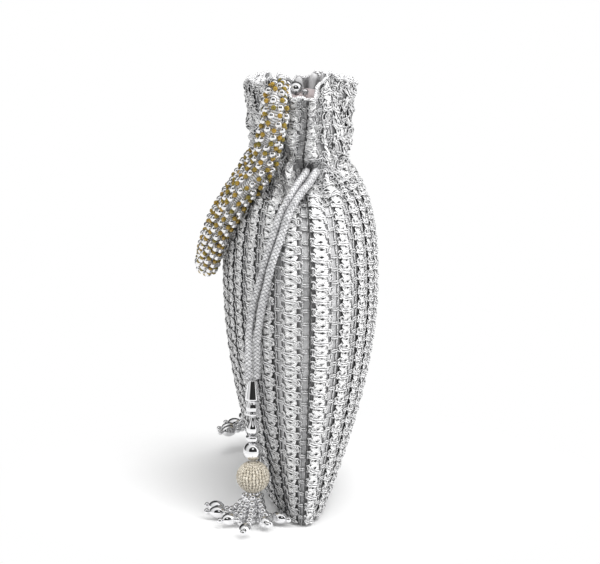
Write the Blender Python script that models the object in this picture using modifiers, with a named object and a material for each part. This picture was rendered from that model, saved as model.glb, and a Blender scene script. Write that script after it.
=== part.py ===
"""Potli bag: a gathered drawstring pouch of silver braid lace with a beaded handle and two tassels.

Metres, +Z up. X is the bag's width, Y its thickness, and the front faces -Y. The origin is the middle of the base.
"""

import math

import bpy
from mathutils import Vector, geometry

# Bag outline: the height of each level, its half width and its half thickness, base to rim
BASE_HALF_WIDTH = 0.088
BASE_HALF_THICKNESS = 0.0175
BODY_HALF_WIDTH = 0.0965
BODY_HALF_THICKNESS = 0.0415
SHOULDER_HALF_WIDTH = 0.080
SHOULDER_HALF_THICKNESS = 0.0350
NECK_HALF_WIDTH = 0.056
NECK_HALF_THICKNESS = 0.0250
RIM_HALF_WIDTH = 0.063
RIM_HALF_THICKNESS = 0.0305
BAG_HEIGHT = 0.219
BODY_LEVEL = 0.118
SHOULDER_LEVEL = 0.1645
NECK_LEVEL = 0.1815

# How the outline bends: the swell from the base, the fall to the shoulder and the draw into the neck
SWELL_POWER = 0.85
WIDTH_FALL_POWER = 2.2
THICKNESS_FALL_POWER = 2.6
NECK_DRAW_POWER = 0.75

# Lace: bands of braid with ladder stitch between them, gathered where the cords draw the neck in
LACE_COLUMNS = 26
POINTS_A_COLUMN = 3
LACE_RELIEF = 0.0011
GATHER_DEPTH = 0.0032
GATHER_LENGTH = 0.022
COLLAR_GATHER = 0.55
RIM_DIP = 0.0060
RIM_DIP_POWER = 3
RIM_RIPPLE = 0.0012

# Walls and clearances
PANEL_WALL = 0.0014
SEAM_GAP = 0.0003
LINING_WALL = 0.0008
LINING_CLEARANCE = 0.0012
LINING_SIDES = 26
LINING_TOP_DROP = 0.0030
LINING_FLOOR = 0.0045

# Drawstrings: two round cords in the neck's channel
CORD_DIAMETER = 0.0040
CORD_CLEARANCE = 0.0006
CORD_SPACING = 0.0055
STRAND_SPACING = 0.0050
EXIT_SHIFT = 0.0022
EXIT_CLEARANCE = 0.0016
EXIT_DEPTH = 0.024
EXIT_SIDES = 12
CHANNEL_SIDES = 30
CHANNEL_END_CLEARANCE = 0.0012
STRAND_STEP = 0.0088
STRAND_RISE_FROM = 0.170
STRAND_SHIFT_FROM = 0.152
STRAND_SHIFT_UNTIL = 0.098

# Handle: a rope of bead strands
HANDLE_RADIUS = 0.0057
HANDLE_BEAD_RELIEF = 0.0013
HANDLE_SIDES = 10
HANDLE_END_RADIUS = 0.0040
HANDLE_TAPER_LENGTH = 0.045
HANDLE_BEAD_PITCH = 0.0070

# Tassel, from the cord cap down
TASSEL_X = 0.0765
TASSEL_Y = -0.02905
CAP_TOP = 0.0750
FAR_TASSEL_OUT = 0.0100
FAR_TASSEL_BACK = 0.0055
FAR_TASSEL_RISE = 0.0080
CAP_LENGTH = 0.0104
CAP_RADIUS = 0.0040
BELL_LENGTH = 0.0078
BELL_RADIUS = 0.0041
DROP_LENGTH = 0.0099
DROP_RADIUS = 0.0034
RING_LENGTH = 0.0030
RING_RADIUS = 0.0038
BEAD_RADIUS = 0.0050
BALL_RADIUS = 0.0087
BALL_RELIEF = 0.0006
BALL_RIBS = 14
BALL_BANDS = 6
BALL_POLE_RADIUS = 0.0026
PIECE_GAP = 0.0003
TURNED_STEPS = 12
ROUND_BEAD_BANDS = 7

# Fringe: strings of small beads that end in a drop
FRINGE_RADIUS = 0.0015
FRINGE_NARROW = 0.0009
FRINGE_BEAD_PITCH = 0.0031
FRINGE_SIDES = 6
FRINGE_START_RADIUS = 0.0040
FRINGE_LEVEL_STRETCH = 0.0045
FAR_FRINGE_SPREAD = 0.70
FRINGE_BELLY_REACH = 0.45
FRINGE_BELLY_FALL = 0.62
DROP_LEAN = 0.05
DROP_BEAD_RADIUS = 0.0025
DROP_BEAD_LENGTH = 0.0074
DROP_BANDS = 5
DROP_WAIST_RADIUS = 0.0006
END_BEAD_RADIUS = 0.0014
FRINGE_DROP_STEPS = 6

# Beads at the handle's roots
ROOT_BEAD_RADIUS = 0.0036
SMALL_ROOT_BEAD_RADIUS = 0.0020
ROOT_BEAD_BANDS = 6
SMALL_ROOT_BEAD_BANDS = 5

MILLIMETRE = 0.001
EDGE_STEPS = 720
ROUTE_STEPS = 24

# Routes in millimetres, chosen by hand. The near cords and tassel are at +X. The far ones mirror them, with a
# tassel that hangs a little higher and further round the bag.
STRAND_A_ROUTE = [(52.0, -0.3, 178.8), (56.5, -0.5, 178.9), (61.2, -1.4, 178.4), (66.8, -5.2, 174.6),
                  (74.6, -9.2, 170.0), (80.0, -14.9, 160.9), (82.8, -19.3, 148.4), (81.6, -23.2, 135.2),
                  (78.6, -26.6, 121.5), (77.0, -28.7, 113.3), (76.3, -30.0, 105.2), (76.2, -30.9, 97.0),
                  (76.5, -31.2, 88.6), (76.5, -31.2, 75.9)]
STRAND_B_ROUTE = [(52.0, 4.7, 178.8), (56.5, 4.6, 178.9), (61.6, 3.3, 178.5), (67.2, 0.4, 174.9),
                  (75.9, -4.9, 170.1), (83.6, -10.9, 161.3), (85.8, -15.4, 148.6), (86.3, -19.7, 136.0),
                  (84.0, -22.7, 122.7), (82.2, -24.4, 114.7), (80.2, -25.6, 106.5), (78.2, -26.6, 98.0),
                  (77.0, -26.9, 89.5), (76.5, -26.9, 75.9)]
HANDLE_NEAR_ROUTE = [(49.5, -9.0, 220.6), (52.4, -13.0, 222.0), (60.8, -16.6, 218.2), (62.8, -16.6, 210.5),
                     (60.5, -18.0, 201.5), (56.5, -19.8, 192.5), (53.6, -21.6, 183.5), (52.2, -26.6, 175.0),
                     (49.0, -33.0, 168.0), (42.0, -38.9, 157.0), (33.5, -44.6, 146.0), (22.5, -47.8, 135.5),
                     (11.5, -49.5, 126.5)]
HANDLE_LOW_POINT = (0.0, -50.0, 122.6)
HANDLE_FAR_ROUTE = [(-15.0, -49.4, 125.5), (-32.0, -46.9, 134.0), (-48.0, -42.4, 145.5),
                    (-60.0, -35.8, 157.0), (-61.3, -28.7, 169.2), (-57.8, -22.6, 179.5),
                    (-57.6, -20.8, 190.0), (-59.8, -18.8, 198.5),
                    (-60.6, -17.6, 204.5), (-60.4, -16.6, 209.5)]
FRINGE_ENDS = [(63.5, -43.5), (72.5, -42.5), (82.3, -37.4), (100.0, -33.4), (86.3, -24.6), (80.5, -19.5)]
FRINGE_START_ANGLES = [200.0, 255.0, 310.0, 0.0, 52.0, 106.0]

bpy.ops.object.select_all(action="DESELECT")
for old in list(bpy.data.objects):
    bpy.data.objects.remove(old)

bag_collection = bpy.data.collections.new("potli_bag")
cutter_collection = bpy.data.collections.new("cutters")
bpy.context.scene.collection.children.link(bag_collection)
bpy.context.scene.collection.children.link(cutter_collection)


def make_material(name, colour, roughness, metallic):
    material = bpy.data.materials.new(name)
    material.use_nodes = True
    shader = material.node_tree.nodes["Principled BSDF"]
    shader.inputs["Base Color"].default_value = (*colour, 1.0)
    shader.inputs["Roughness"].default_value = roughness
    shader.inputs["Metallic"].default_value = metallic
    return material


def finish_object(obj, name, material):
    """Names an object, gives it its own copy of a material and puts it in the bag's collection."""
    obj.name = name
    for collection in list(obj.users_collection):
        collection.objects.unlink(obj)
    bag_collection.objects.link(obj)
    own = material.copy()
    own.name = name + "_finish"
    obj.data.materials.clear()
    obj.data.materials.append(own)
    return obj


def mesh_object(name, vertices, faces):
    mesh = bpy.data.meshes.new(name)
    mesh.from_pydata(vertices, [], faces)
    mesh.validate()
    obj = bpy.data.objects.new(name, mesh)
    bpy.context.scene.collection.objects.link(obj)
    return obj


def smooth_blend(low, high, share):
    """Eases from low to high, level at both ends."""
    share = min(max(share, 0.0), 1.0)
    eased = share * share * (3.0 - 2.0 * share)
    return low + (high - low) * eased


def round_out(low, high, share):
    """Swells fast from low and arrives level at high."""
    share = min(max(share, 0.0), 1.0)
    return low + (high - low) * math.sin(share * math.pi / 2.0) ** SWELL_POWER


def half_width(level):
    if level <= BODY_LEVEL:
        return round_out(BASE_HALF_WIDTH, BODY_HALF_WIDTH, level / BODY_LEVEL)
    if level <= SHOULDER_LEVEL:
        share = (level - BODY_LEVEL) / (SHOULDER_LEVEL - BODY_LEVEL)
        drop = BODY_HALF_WIDTH - SHOULDER_HALF_WIDTH
        return BODY_HALF_WIDTH - drop * share ** WIDTH_FALL_POWER
    if level <= NECK_LEVEL:
        share = (level - SHOULDER_LEVEL) / (NECK_LEVEL - SHOULDER_LEVEL)
        return smooth_blend(SHOULDER_HALF_WIDTH, NECK_HALF_WIDTH, share ** NECK_DRAW_POWER)
    share = (level - NECK_LEVEL) / (BAG_HEIGHT - NECK_LEVEL)
    return NECK_HALF_WIDTH + (RIM_HALF_WIDTH - NECK_HALF_WIDTH) * share


def half_thickness(level):
    if level <= BODY_LEVEL:
        return round_out(BASE_HALF_THICKNESS, BODY_HALF_THICKNESS, level / BODY_LEVEL)
    if level <= SHOULDER_LEVEL:
        share = (level - BODY_LEVEL) / (SHOULDER_LEVEL - BODY_LEVEL)
        drop = BODY_HALF_THICKNESS - SHOULDER_HALF_THICKNESS
        return BODY_HALF_THICKNESS - drop * share ** THICKNESS_FALL_POWER
    if level <= NECK_LEVEL:
        share = (level - SHOULDER_LEVEL) / (NECK_LEVEL - SHOULDER_LEVEL)
        return smooth_blend(SHOULDER_HALF_THICKNESS, NECK_HALF_THICKNESS, share ** NECK_DRAW_POWER)
    share = (level - NECK_LEVEL) / (BAG_HEIGHT - NECK_LEVEL)
    return NECK_HALF_THICKNESS + (RIM_HALF_THICKNESS - NECK_HALF_THICKNESS) * share


def gather_share(level):
    """1 where the cords gather the cloth and 0 well below them; the collar above stays half gathered."""
    if level < NECK_LEVEL:
        return smooth_blend(1.0, 0.0, (NECK_LEVEL - level) / GATHER_LENGTH)
    return smooth_blend(1.0, COLLAR_GATHER, (level - NECK_LEVEL) / GATHER_LENGTH)


def relief(level):
    return LACE_RELIEF + (GATHER_DEPTH - LACE_RELIEF) * gather_share(level)


def equal_arc_angles(count, width, thickness):
    """Angles of an ellipse that part its edge into equal lengths, starting at +X."""
    lengths = [0.0]
    for i in range(EDGE_STEPS):
        a = 2.0 * math.pi * i / EDGE_STEPS
        b = 2.0 * math.pi * (i + 1) / EDGE_STEPS
        step = math.hypot(width * (math.cos(b) - math.cos(a)), thickness * (math.sin(b) - math.sin(a)))
        lengths.append(lengths[-1] + step)
    angles = []
    j = 0
    for k in range(count):
        target = lengths[-1] * k / count
        while lengths[j + 1] < target:
            j += 1
        share = (target - lengths[j]) / (lengths[j + 1] - lengths[j])
        angles.append(2.0 * math.pi * (j + share) / EDGE_STEPS)
    return angles


def section_point(angle, level, inset):
    """A point on the bag's section at a level, moved in from the outline along its normal."""
    width = half_width(level)
    thickness = half_thickness(level)
    normal = Vector((math.cos(angle) / width, math.sin(angle) / thickness))
    normal.normalize()
    x = width * math.cos(angle) - inset * normal.x
    y = thickness * math.sin(angle) - inset * normal.y
    return x, y


def bag_levels():
    levels = [BODY_LEVEL * share for share in (0.0, 0.05, 0.18, 0.42, 0.75)]
    rise = SHOULDER_LEVEL - BODY_LEVEL
    levels += [BODY_LEVEL + 0.1 * rise, BODY_LEVEL + 0.6 * rise, SHOULDER_LEVEL]
    neck = NECK_LEVEL - SHOULDER_LEVEL
    levels += [SHOULDER_LEVEL + 0.5 * neck, NECK_LEVEL]
    collar = BAG_HEIGHT - NECK_LEVEL
    levels += [NECK_LEVEL + 0.5 * collar, BAG_HEIGHT]
    return levels


def bag_surface():
    """The lace bag as one open surface: a ring of points at each level, closed below by a flat base."""
    ring = LACE_COLUMNS * POINTS_A_COLUMN
    levels = bag_levels()
    vertices = []
    for row, level in enumerate(levels):
        angles = equal_arc_angles(ring, half_width(level), half_thickness(level))
        for k, angle in enumerate(angles):
            valley = k % POINTS_A_COLUMN == 0
            inset = relief(level) if valley else 0.0
            x, y = section_point(angle, level, inset if row else inset * 0.5)
            z = level
            if row == len(levels) - 1:
                z -= RIM_DIP * abs(math.cos(angle)) ** RIM_DIP_POWER
                z -= RIM_RIPPLE if valley else 0.0
            vertices.append((x, y, z))
    faces = []
    for row in range(len(levels) - 1):
        for k in range(ring):
            after = (k + 1) % ring
            a = row * ring + k
            b = row * ring + after
            faces.append((a, b, b + ring, a + ring))
    faces += base_faces(ring)
    return vertices, faces


def base_faces(ring):
    """Joins the front and back halves of the lowest ring across the bottom, facing down."""
    faces = []
    half = ring // 2
    faces.append((0, ring - 1, 1))
    for k in range(1, half - 1):
        faces.append((k, ring - k, ring - k - 1, k + 1))
    faces.append((half - 1, half + 1, half))
    return faces


def apply_modifiers(obj):
    """Gives an object the mesh that its modifiers make, and clears them."""
    depsgraph = bpy.context.evaluated_depsgraph_get()
    mesh = bpy.data.meshes.new_from_object(obj.evaluated_get(depsgraph))
    obj.modifiers.clear()
    obj.data = mesh
    return obj


def add_cut(obj, cutter):
    cut = obj.modifiers.new("cut", "BOOLEAN")
    cut.operation = "DIFFERENCE"
    cut.solver = "EXACT"
    cut.object = cutter


def keep_as_cutter(obj, name):
    obj.name = name
    for collection in list(obj.users_collection):
        collection.objects.unlink(obj)
    cutter_collection.objects.link(obj)
    obj.hide_render = True
    obj.display_type = "WIRE"
    return obj


def half_space_cutter(name, side):
    """A block that takes away the half of the bag beyond the seam, with half of the seam's gap."""
    size = 2.0 * BAG_HEIGHT
    bpy.ops.mesh.primitive_cube_add(size=size)
    block = bpy.context.object
    block.location = (0.0, side * (size / 2.0 - SEAM_GAP / 2.0), BAG_HEIGHT / 2.0)
    return keep_as_cutter(block, name)


def exit_cutter(name, side, level):
    """A flattened hole at a side seam, where the two strands of one cord leave the channel."""
    width = STRAND_SPACING + CORD_DIAMETER + 2.0 * EXIT_CLEARANCE
    height = CORD_DIAMETER + 2.0 * EXIT_CLEARANCE
    bpy.ops.mesh.primitive_cylinder_add(vertices=EXIT_SIDES, radius=0.5, depth=EXIT_DEPTH)
    hole = bpy.context.object
    hole.rotation_euler = (0.0, math.pi / 2.0, 0.0)
    hole.scale = (height, width, 1.0)
    hole.location = (side * NECK_HALF_WIDTH, EXIT_SHIFT, level)
    return keep_as_cutter(hole, name)


NEAR_CORD_LEVEL = NECK_LEVEL - CORD_SPACING / 2.0
FAR_CORD_LEVEL = NECK_LEVEL + CORD_SPACING / 2.0


def make_panels(material):
    near_exit = exit_cutter("near_exit_cutter", 1.0, NEAR_CORD_LEVEL)
    far_exit = exit_cutter("far_exit_cutter", -1.0, FAR_CORD_LEVEL)
    vertices, faces = bag_surface()
    for name, side in (("front_panel", 1.0), ("back_panel", -1.0)):
        panel = mesh_object(name, vertices, faces)
        wall = panel.modifiers.new("wall", "SOLIDIFY")
        wall.thickness = PANEL_WALL
        wall.offset = -1.0
        wall.use_even_offset = False
        add_cut(panel, half_space_cutter(name + "_seam_cutter", side))
        add_cut(panel, near_exit)
        add_cut(panel, far_exit)
        finish_object(panel, name, material)


def channel_inset():
    """How far the neck's cloth and the cord's clearance reach in from the outline."""
    return relief(NECK_LEVEL) + PANEL_WALL + CORD_CLEARANCE


def lining_inset(level):
    plain = relief(level) + PANEL_WALL + LINING_CLEARANCE
    channel = channel_inset() + CORD_DIAMETER + CORD_CLEARANCE
    near_channel = smooth_blend(1.0, 0.0, (abs(level - NECK_LEVEL) - CORD_SPACING) / GATHER_LENGTH)
    return plain + (channel - plain) * near_channel


def make_lining(material):
    """The satin inner bag: an open surface with a wall, held off the panels, roomy at the cord channel."""
    top = BAG_HEIGHT - RIM_DIP - LINING_TOP_DROP
    levels = [LINING_FLOOR, 0.5 * BODY_LEVEL, BODY_LEVEL, 0.5 * (BODY_LEVEL + SHOULDER_LEVEL), SHOULDER_LEVEL,
              NECK_LEVEL - CORD_SPACING, NECK_LEVEL + CORD_SPACING, 0.5 * (NECK_LEVEL + top), top]
    ring = LINING_SIDES
    vertices = []
    for level in levels:
        in_channel = abs(level - NECK_LEVEL) < 1.5 * CORD_SPACING
        section = NECK_LEVEL if in_channel else level
        for angle in equal_arc_angles(ring, half_width(section), half_thickness(section)):
            x, y = section_point(angle, section, lining_inset(section))
            vertices.append((x, y, level))
    faces = []
    for row in range(len(levels) - 1):
        for k in range(ring):
            after = (k + 1) % ring
            a = row * ring + k
            b = row * ring + after
            faces.append((a, b, b + ring, a + ring))
    faces += base_faces(ring)
    lining = mesh_object("lining", vertices, faces)
    wall = lining.modifiers.new("wall", "SOLIDIFY")
    wall.thickness = LINING_WALL
    wall.offset = -1.0
    wall.use_even_offset = False
    finish_object(lining, "lining", material)


def smooth_route(points, spacing):
    """Points at an even spacing on a smooth curve through the route's own points."""
    knots = [Vector(p) * MILLIMETRE for p in points]
    fine = []
    for i in range(len(knots) - 1):
        before = knots[i - 1] if i > 0 else knots[i] * 2.0 - knots[i + 1]
        after = knots[i + 2] if i + 2 < len(knots) else knots[i + 1] * 2.0 - knots[i]
        start_handle = knots[i] + (knots[i + 1] - before) / 6.0
        end_handle = knots[i + 1] - (after - knots[i]) / 6.0
        stretch = geometry.interpolate_bezier(knots[i], start_handle, end_handle, knots[i + 1], ROUTE_STEPS)
        fine += stretch if i == 0 else stretch[1:]
    lengths = [0.0]
    for a, b in zip(fine, fine[1:]):
        lengths.append(lengths[-1] + (b - a).length)
    count = max(2, round(lengths[-1] / spacing))
    points_out = []
    j = 0
    for k in range(count + 1):
        target = lengths[-1] * k / count
        while j < len(fine) - 2 and lengths[j + 1] < target:
            j += 1
        share = (target - lengths[j]) / (lengths[j + 1] - lengths[j])
        points_out.append(fine[j].lerp(fine[j + 1], min(share, 1.0)))
    return points_out


def make_tube(name, points, radius, material):
    curve = bpy.data.curves.new(name, "CURVE")
    curve.dimensions = "3D"
    curve.bevel_depth = radius
    curve.bevel_resolution = 2
    curve.use_fill_caps = True
    spline = curve.splines.new("POLY")
    spline.points.add(len(points) - 1)
    for point, place in zip(spline.points, points):
        point.co = (*place, 1.0)
    tube = bpy.data.objects.new(name, curve)
    bpy.context.scene.collection.objects.link(tube)
    return finish_object(tube, name, material)


def mirrored(point, shift):
    """The same place on the far side, still in front of the bag, with a share of the far tassel's own shift."""
    moved = Vector((-FAR_TASSEL_OUT, FAR_TASSEL_BACK, FAR_TASSEL_RISE)) * shift
    return Vector((-point[0], point[1], point[2])) + moved


def far_place(point):
    return mirrored(point, 1.0)


def make_loop(name, level, side, material):
    """The stretch of a drawstring inside the channel, from one strand round the neck to the other."""
    inset = channel_inset() + CORD_DIAMETER / 2.0
    opening = STRAND_SPACING / 2.0
    angles = equal_arc_angles(CHANNEL_SIDES, NECK_HALF_WIDTH, NECK_HALF_THICKNESS)
    points = []
    for angle in angles[1:]:
        x, y = section_point(angle, NECK_LEVEL, inset)
        points.append(Vector((side * x, y, level)))
    x_end = side * (NECK_HALF_WIDTH - inset)
    first = Vector((x_end, EXIT_SHIFT + opening, level))
    last = Vector((x_end, EXIT_SHIFT - opening, level))
    clear = opening + CHANNEL_END_CLEARANCE
    kept = [p for p in points if side * p.x < 0.0 or abs(p.y - EXIT_SHIFT) > clear]
    return make_tube(name, [first] + kept + [last], CORD_DIAMETER / 2.0, material)


def make_drawstrings(material):
    make_loop("drawstring_near_channel", NEAR_CORD_LEVEL, 1.0, material)
    make_loop("drawstring_far_channel", FAR_CORD_LEVEL, -1.0, material)
    rise = FAR_CORD_LEVEL - NEAR_CORD_LEVEL
    for strand, route in (("a", STRAND_A_ROUTE), ("b", STRAND_B_ROUTE)):
        near = smooth_route(route, STRAND_STEP)
        make_tube("drawstring_near_" + strand, near, CORD_DIAMETER / 2.0, material)
        far = []
        for point in near:
            share = min(max((point.z - STRAND_RISE_FROM) / (NEAR_CORD_LEVEL - STRAND_RISE_FROM), 0.0), 1.0)
            fallen = (STRAND_SHIFT_FROM - point.z) / (STRAND_SHIFT_FROM - STRAND_SHIFT_UNTIL)
            place = mirrored(point, smooth_blend(0.0, 1.0, fallen))
            place.z += rise * share
            far.append(place)
        make_tube("drawstring_far_" + strand, far, CORD_DIAMETER / 2.0, material)


def make_turned(name, profile, place, steps, material):
    """A turned piece: its outer profile, from top to bottom, screwed about the upright axis."""
    vertices = [(radius, 0.0, height) for radius, height in profile]
    edges = [(i, i + 1) for i in range(len(profile) - 1)]
    mesh = bpy.data.meshes.new(name)
    mesh.from_pydata(vertices, edges, [])
    piece = bpy.data.objects.new(name, mesh)
    bpy.context.scene.collection.objects.link(piece)
    piece.location = place
    turn = piece.modifiers.new("turn", "SCREW")
    turn.steps = steps
    turn.render_steps = steps
    turn.use_merge_vertices = True
    turn.merge_threshold = 0.00001
    turn.use_smooth_shade = True
    return finish_object(piece, name, material)


def oval_profile(radius, length, points):
    """Half an ellipse from its top pole to its bottom pole."""
    profile = []
    for i in range(points + 1):
        angle = math.pi * i / points
        profile.append((radius * math.sin(angle) if 0 < i < points else 0.0, 0.5 * length * math.cos(angle)))
    return profile


def make_beaded_ball(name, place, material):
    """A ball covered by upright rows of cut beads: a sphere whose rows stand proud in turn."""
    ring = 2 * BALL_RIBS
    vertices = []
    start = math.asin(BALL_POLE_RADIUS / BALL_RADIUS)
    for row in range(BALL_BANDS + 1):
        polar = start + (math.pi - 2.0 * start) * row / BALL_BANDS
        for k in range(ring):
            turn = 2.0 * math.pi * k / ring
            radius = BALL_RADIUS - (BALL_RELIEF if k % 2 else 0.0)
            flat = radius * math.sin(polar)
            vertices.append((flat * math.cos(turn), flat * math.sin(turn), radius * math.cos(polar)))
    faces = []
    for row in range(BALL_BANDS):
        for k in range(ring):
            after = (k + 1) % ring
            a = row * ring + k
            b = row * ring + after
            faces.append((a, a + ring, b + ring, b))
    faces.append(tuple(range(ring)))
    faces.append(tuple(reversed(range(BALL_BANDS * ring, (BALL_BANDS + 1) * ring))))
    ball = mesh_object(name, vertices, faces)
    ball.location = place
    return finish_object(ball, name, material)


def make_bead_string(name, points, wide, narrow, sides, material):
    """Beads threaded close together: rings along a path, in turn as wide as a bead and as the join between two."""
    vertices = []
    tangents = []
    for i in range(len(points)):
        before = points[max(i - 1, 0)]
        after = points[min(i + 1, len(points) - 1)]
        tangents.append((after - before).normalized())
    across = tangents[0].orthogonal().normalized()
    for i, (point, tangent) in enumerate(zip(points, tangents)):
        across = (across - tangent * across.dot(tangent)).normalized()
        other = tangent.cross(across)
        radius = wide if i % 2 else narrow
        for k in range(sides):
            angle = 2.0 * math.pi * k / sides
            vertices.append(point + across * (radius * math.cos(angle)) + other * (radius * math.sin(angle)))
    faces = []
    for row in range(len(points) - 1):
        for k in range(sides):
            after = (k + 1) % sides
            a = row * sides + k
            b = row * sides + after
            faces.append((a, b, b + sides, a + sides))
    faces.append(tuple(reversed(range(sides))))
    faces.append(tuple(range((len(points) - 1) * sides, len(points) * sides)))
    beads = mesh_object(name, [tuple(v) for v in vertices], faces)
    return finish_object(beads, name, material)


def make_fringe(tassel, place_of, spread, top, silver):
    """Six strings that hang from the ball's foot and splay below it, each with a drop and an end bead."""
    floor_height = DROP_BEAD_RADIUS + PIECE_GAP + DROP_LEAN * DROP_BEAD_LENGTH
    for number, (end, turn) in enumerate(zip(FRINGE_ENDS, FRINGE_START_ANGLES), start=1):
        end_x = TASSEL_X + (end[0] * MILLIMETRE - TASSEL_X) * spread
        end_y = TASSEL_Y + (end[1] * MILLIMETRE - TASSEL_Y) * spread
        end_point = Vector((end_x, end_y, floor_height))
        angle = math.radians(turn)
        outward = Vector((math.cos(angle), math.sin(angle), 0.0))
        start = Vector((TASSEL_X, TASSEL_Y, top)) + outward * FRINGE_START_RADIUS
        flat = Vector((end_point.x - start.x, end_point.y - start.y, 0.0)).normalized()
        approach = end_point - flat * FRINGE_LEVEL_STRETCH
        belly = start.lerp(approach, FRINGE_BELLY_REACH)
        belly.z = start.z + FRINGE_BELLY_FALL * (approach.z - start.z)
        knots = [place / MILLIMETRE for place in (start, belly, approach, end_point)]
        near = smooth_route(knots, FRINGE_BEAD_PITCH / 2.0)
        points = [place_of(p) for p in near]
        name = f"{tassel}_string_{number}"
        make_bead_string(name, points, FRINGE_RADIUS, FRINGE_NARROW, FRINGE_SIDES, silver)
        make_fringe_drop(f"{tassel}_drop_{number}", points, silver)


def make_fringe_drop(name, points, material):
    """An oval bead with a small round bead after it, in line with the string's end and level with the floor."""
    direction = points[-1] - points[-2]
    direction.z = 0.0
    direction.normalize()
    half = DROP_BEAD_LENGTH / 2.0
    waist_angle = math.pi - math.asin(DROP_WAIST_RADIUS / DROP_BEAD_RADIUS)
    profile = [(0.0, half)]
    for i in range(1, DROP_BANDS):
        angle = waist_angle * i / DROP_BANDS
        profile.append((DROP_BEAD_RADIUS * math.sin(angle), half * math.cos(angle)))
    profile.append((DROP_WAIST_RADIUS, -half))
    profile.append((END_BEAD_RADIUS, -half - END_BEAD_RADIUS))
    profile.append((0.0, -half - 2.0 * END_BEAD_RADIUS))
    centre = points[-1] + direction * (half + PIECE_GAP)
    drop = make_turned(name, profile, centre, FRINGE_DROP_STEPS, material)
    drop.rotation_euler = direction.to_track_quat("-Z", "Y").to_euler()
    return drop


def make_tassel(tassel, place_of, spread, silver, polished, ivory):
    """Cap, bell, drop, ring, bead and beaded ball, threaded in line below the two strands, then the fringe."""
    def at(height):
        return place_of(Vector((TASSEL_X, TASSEL_Y, height)))

    top = CAP_TOP
    profile = [(0.0, 0.0), (0.8 * CAP_RADIUS, 0.0), (0.86 * CAP_RADIUS, -0.3 * CAP_LENGTH),
               (CAP_RADIUS, -0.92 * CAP_LENGTH), (0.94 * CAP_RADIUS, -CAP_LENGTH), (0.0, -CAP_LENGTH)]
    make_turned(tassel + "_cord_cap", profile, at(top), TURNED_STEPS, polished)
    top -= CAP_LENGTH + PIECE_GAP
    profile = [(0.0, 0.0), (0.55 * BELL_RADIUS, 0.0), (0.85 * BELL_RADIUS, -0.22 * BELL_LENGTH),
               (0.98 * BELL_RADIUS, -0.6 * BELL_LENGTH), (BELL_RADIUS, -0.92 * BELL_LENGTH),
               (0.8 * BELL_RADIUS, -BELL_LENGTH), (0.0, -BELL_LENGTH)]
    make_turned(tassel + "_bell_cap", profile, at(top), TURNED_STEPS, silver)
    top -= BELL_LENGTH + PIECE_GAP
    profile = [(0.0, 0.0), (0.35 * DROP_RADIUS, -0.04 * DROP_LENGTH), (0.6 * DROP_RADIUS, -0.3 * DROP_LENGTH),
               (0.94 * DROP_RADIUS, -0.55 * DROP_LENGTH), (DROP_RADIUS, -0.72 * DROP_LENGTH),
               (0.75 * DROP_RADIUS, -0.92 * DROP_LENGTH), (0.0, -DROP_LENGTH)]
    make_turned(tassel + "_drop_bead", profile, at(top), TURNED_STEPS, silver)
    top -= DROP_LENGTH + PIECE_GAP
    profile = [(0.0, 0.0), (0.85 * RING_RADIUS, 0.0), (RING_RADIUS, -0.5 * RING_LENGTH),
               (0.85 * RING_RADIUS, -RING_LENGTH), (0.0, -RING_LENGTH)]
    make_turned(tassel + "_spacer_ring", profile, at(top), TURNED_STEPS, polished)
    top -= RING_LENGTH + PIECE_GAP
    bead_height = 2.0 * BEAD_RADIUS
    bead = oval_profile(BEAD_RADIUS, bead_height, ROUND_BEAD_BANDS)
    make_turned(tassel + "_round_bead", bead, at(top - BEAD_RADIUS), TURNED_STEPS, silver)
    top -= bead_height + PIECE_GAP
    pole = math.sqrt(BALL_RADIUS ** 2 - BALL_POLE_RADIUS ** 2)
    make_beaded_ball(tassel + "_beaded_ball", at(top - pole), ivory)
    top -= 2.0 * pole + PIECE_GAP
    make_fringe(tassel, place_of, spread, top, silver)


def make_handle(silver):
    """The beaded rope: rings along the handle's route, whose points stand proud in turn as silver beads do."""
    route = HANDLE_NEAR_ROUTE + [HANDLE_LOW_POINT] + HANDLE_FAR_ROUTE
    path = smooth_route(route, HANDLE_BEAD_PITCH / 2.0)
    sides = HANDLE_SIDES
    tangents = []
    for i in range(len(path)):
        before = path[max(i - 1, 0)]
        after = path[min(i + 1, len(path) - 1)]
        tangents.append((after - before).normalized())
    across = tangents[0].orthogonal().normalized()
    vertices = []
    for i, (point, tangent) in enumerate(zip(path, tangents)):
        across = (across - tangent * across.dot(tangent)).normalized()
        other = tangent.cross(across)
        from_end = min(i, len(path) - 1 - i) * HANDLE_BEAD_PITCH / 2.0
        outer = smooth_blend(HANDLE_END_RADIUS, HANDLE_RADIUS, from_end / HANDLE_TAPER_LENGTH)
        for k in range(sides):
            proud = (i + k) % 2 == 0
            radius = outer if proud else outer - HANDLE_BEAD_RELIEF
            angle = 2.0 * math.pi * k / sides
            vertices.append(point + across * (radius * math.cos(angle)) + other * (radius * math.sin(angle)))
    faces = []
    for row in range(len(path) - 1):
        for k in range(sides):
            after = (k + 1) % sides
            a = row * sides + k
            b = row * sides + after
            faces.append((a, b, b + sides, a + sides))
    faces.append(tuple(reversed(range(sides))))
    faces.append(tuple(range((len(path) - 1) * sides, len(path) * sides)))
    handle = mesh_object("handle_rope", [tuple(v) for v in vertices], faces)
    finish_object(handle, "handle_rope", silver)
    return path


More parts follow.
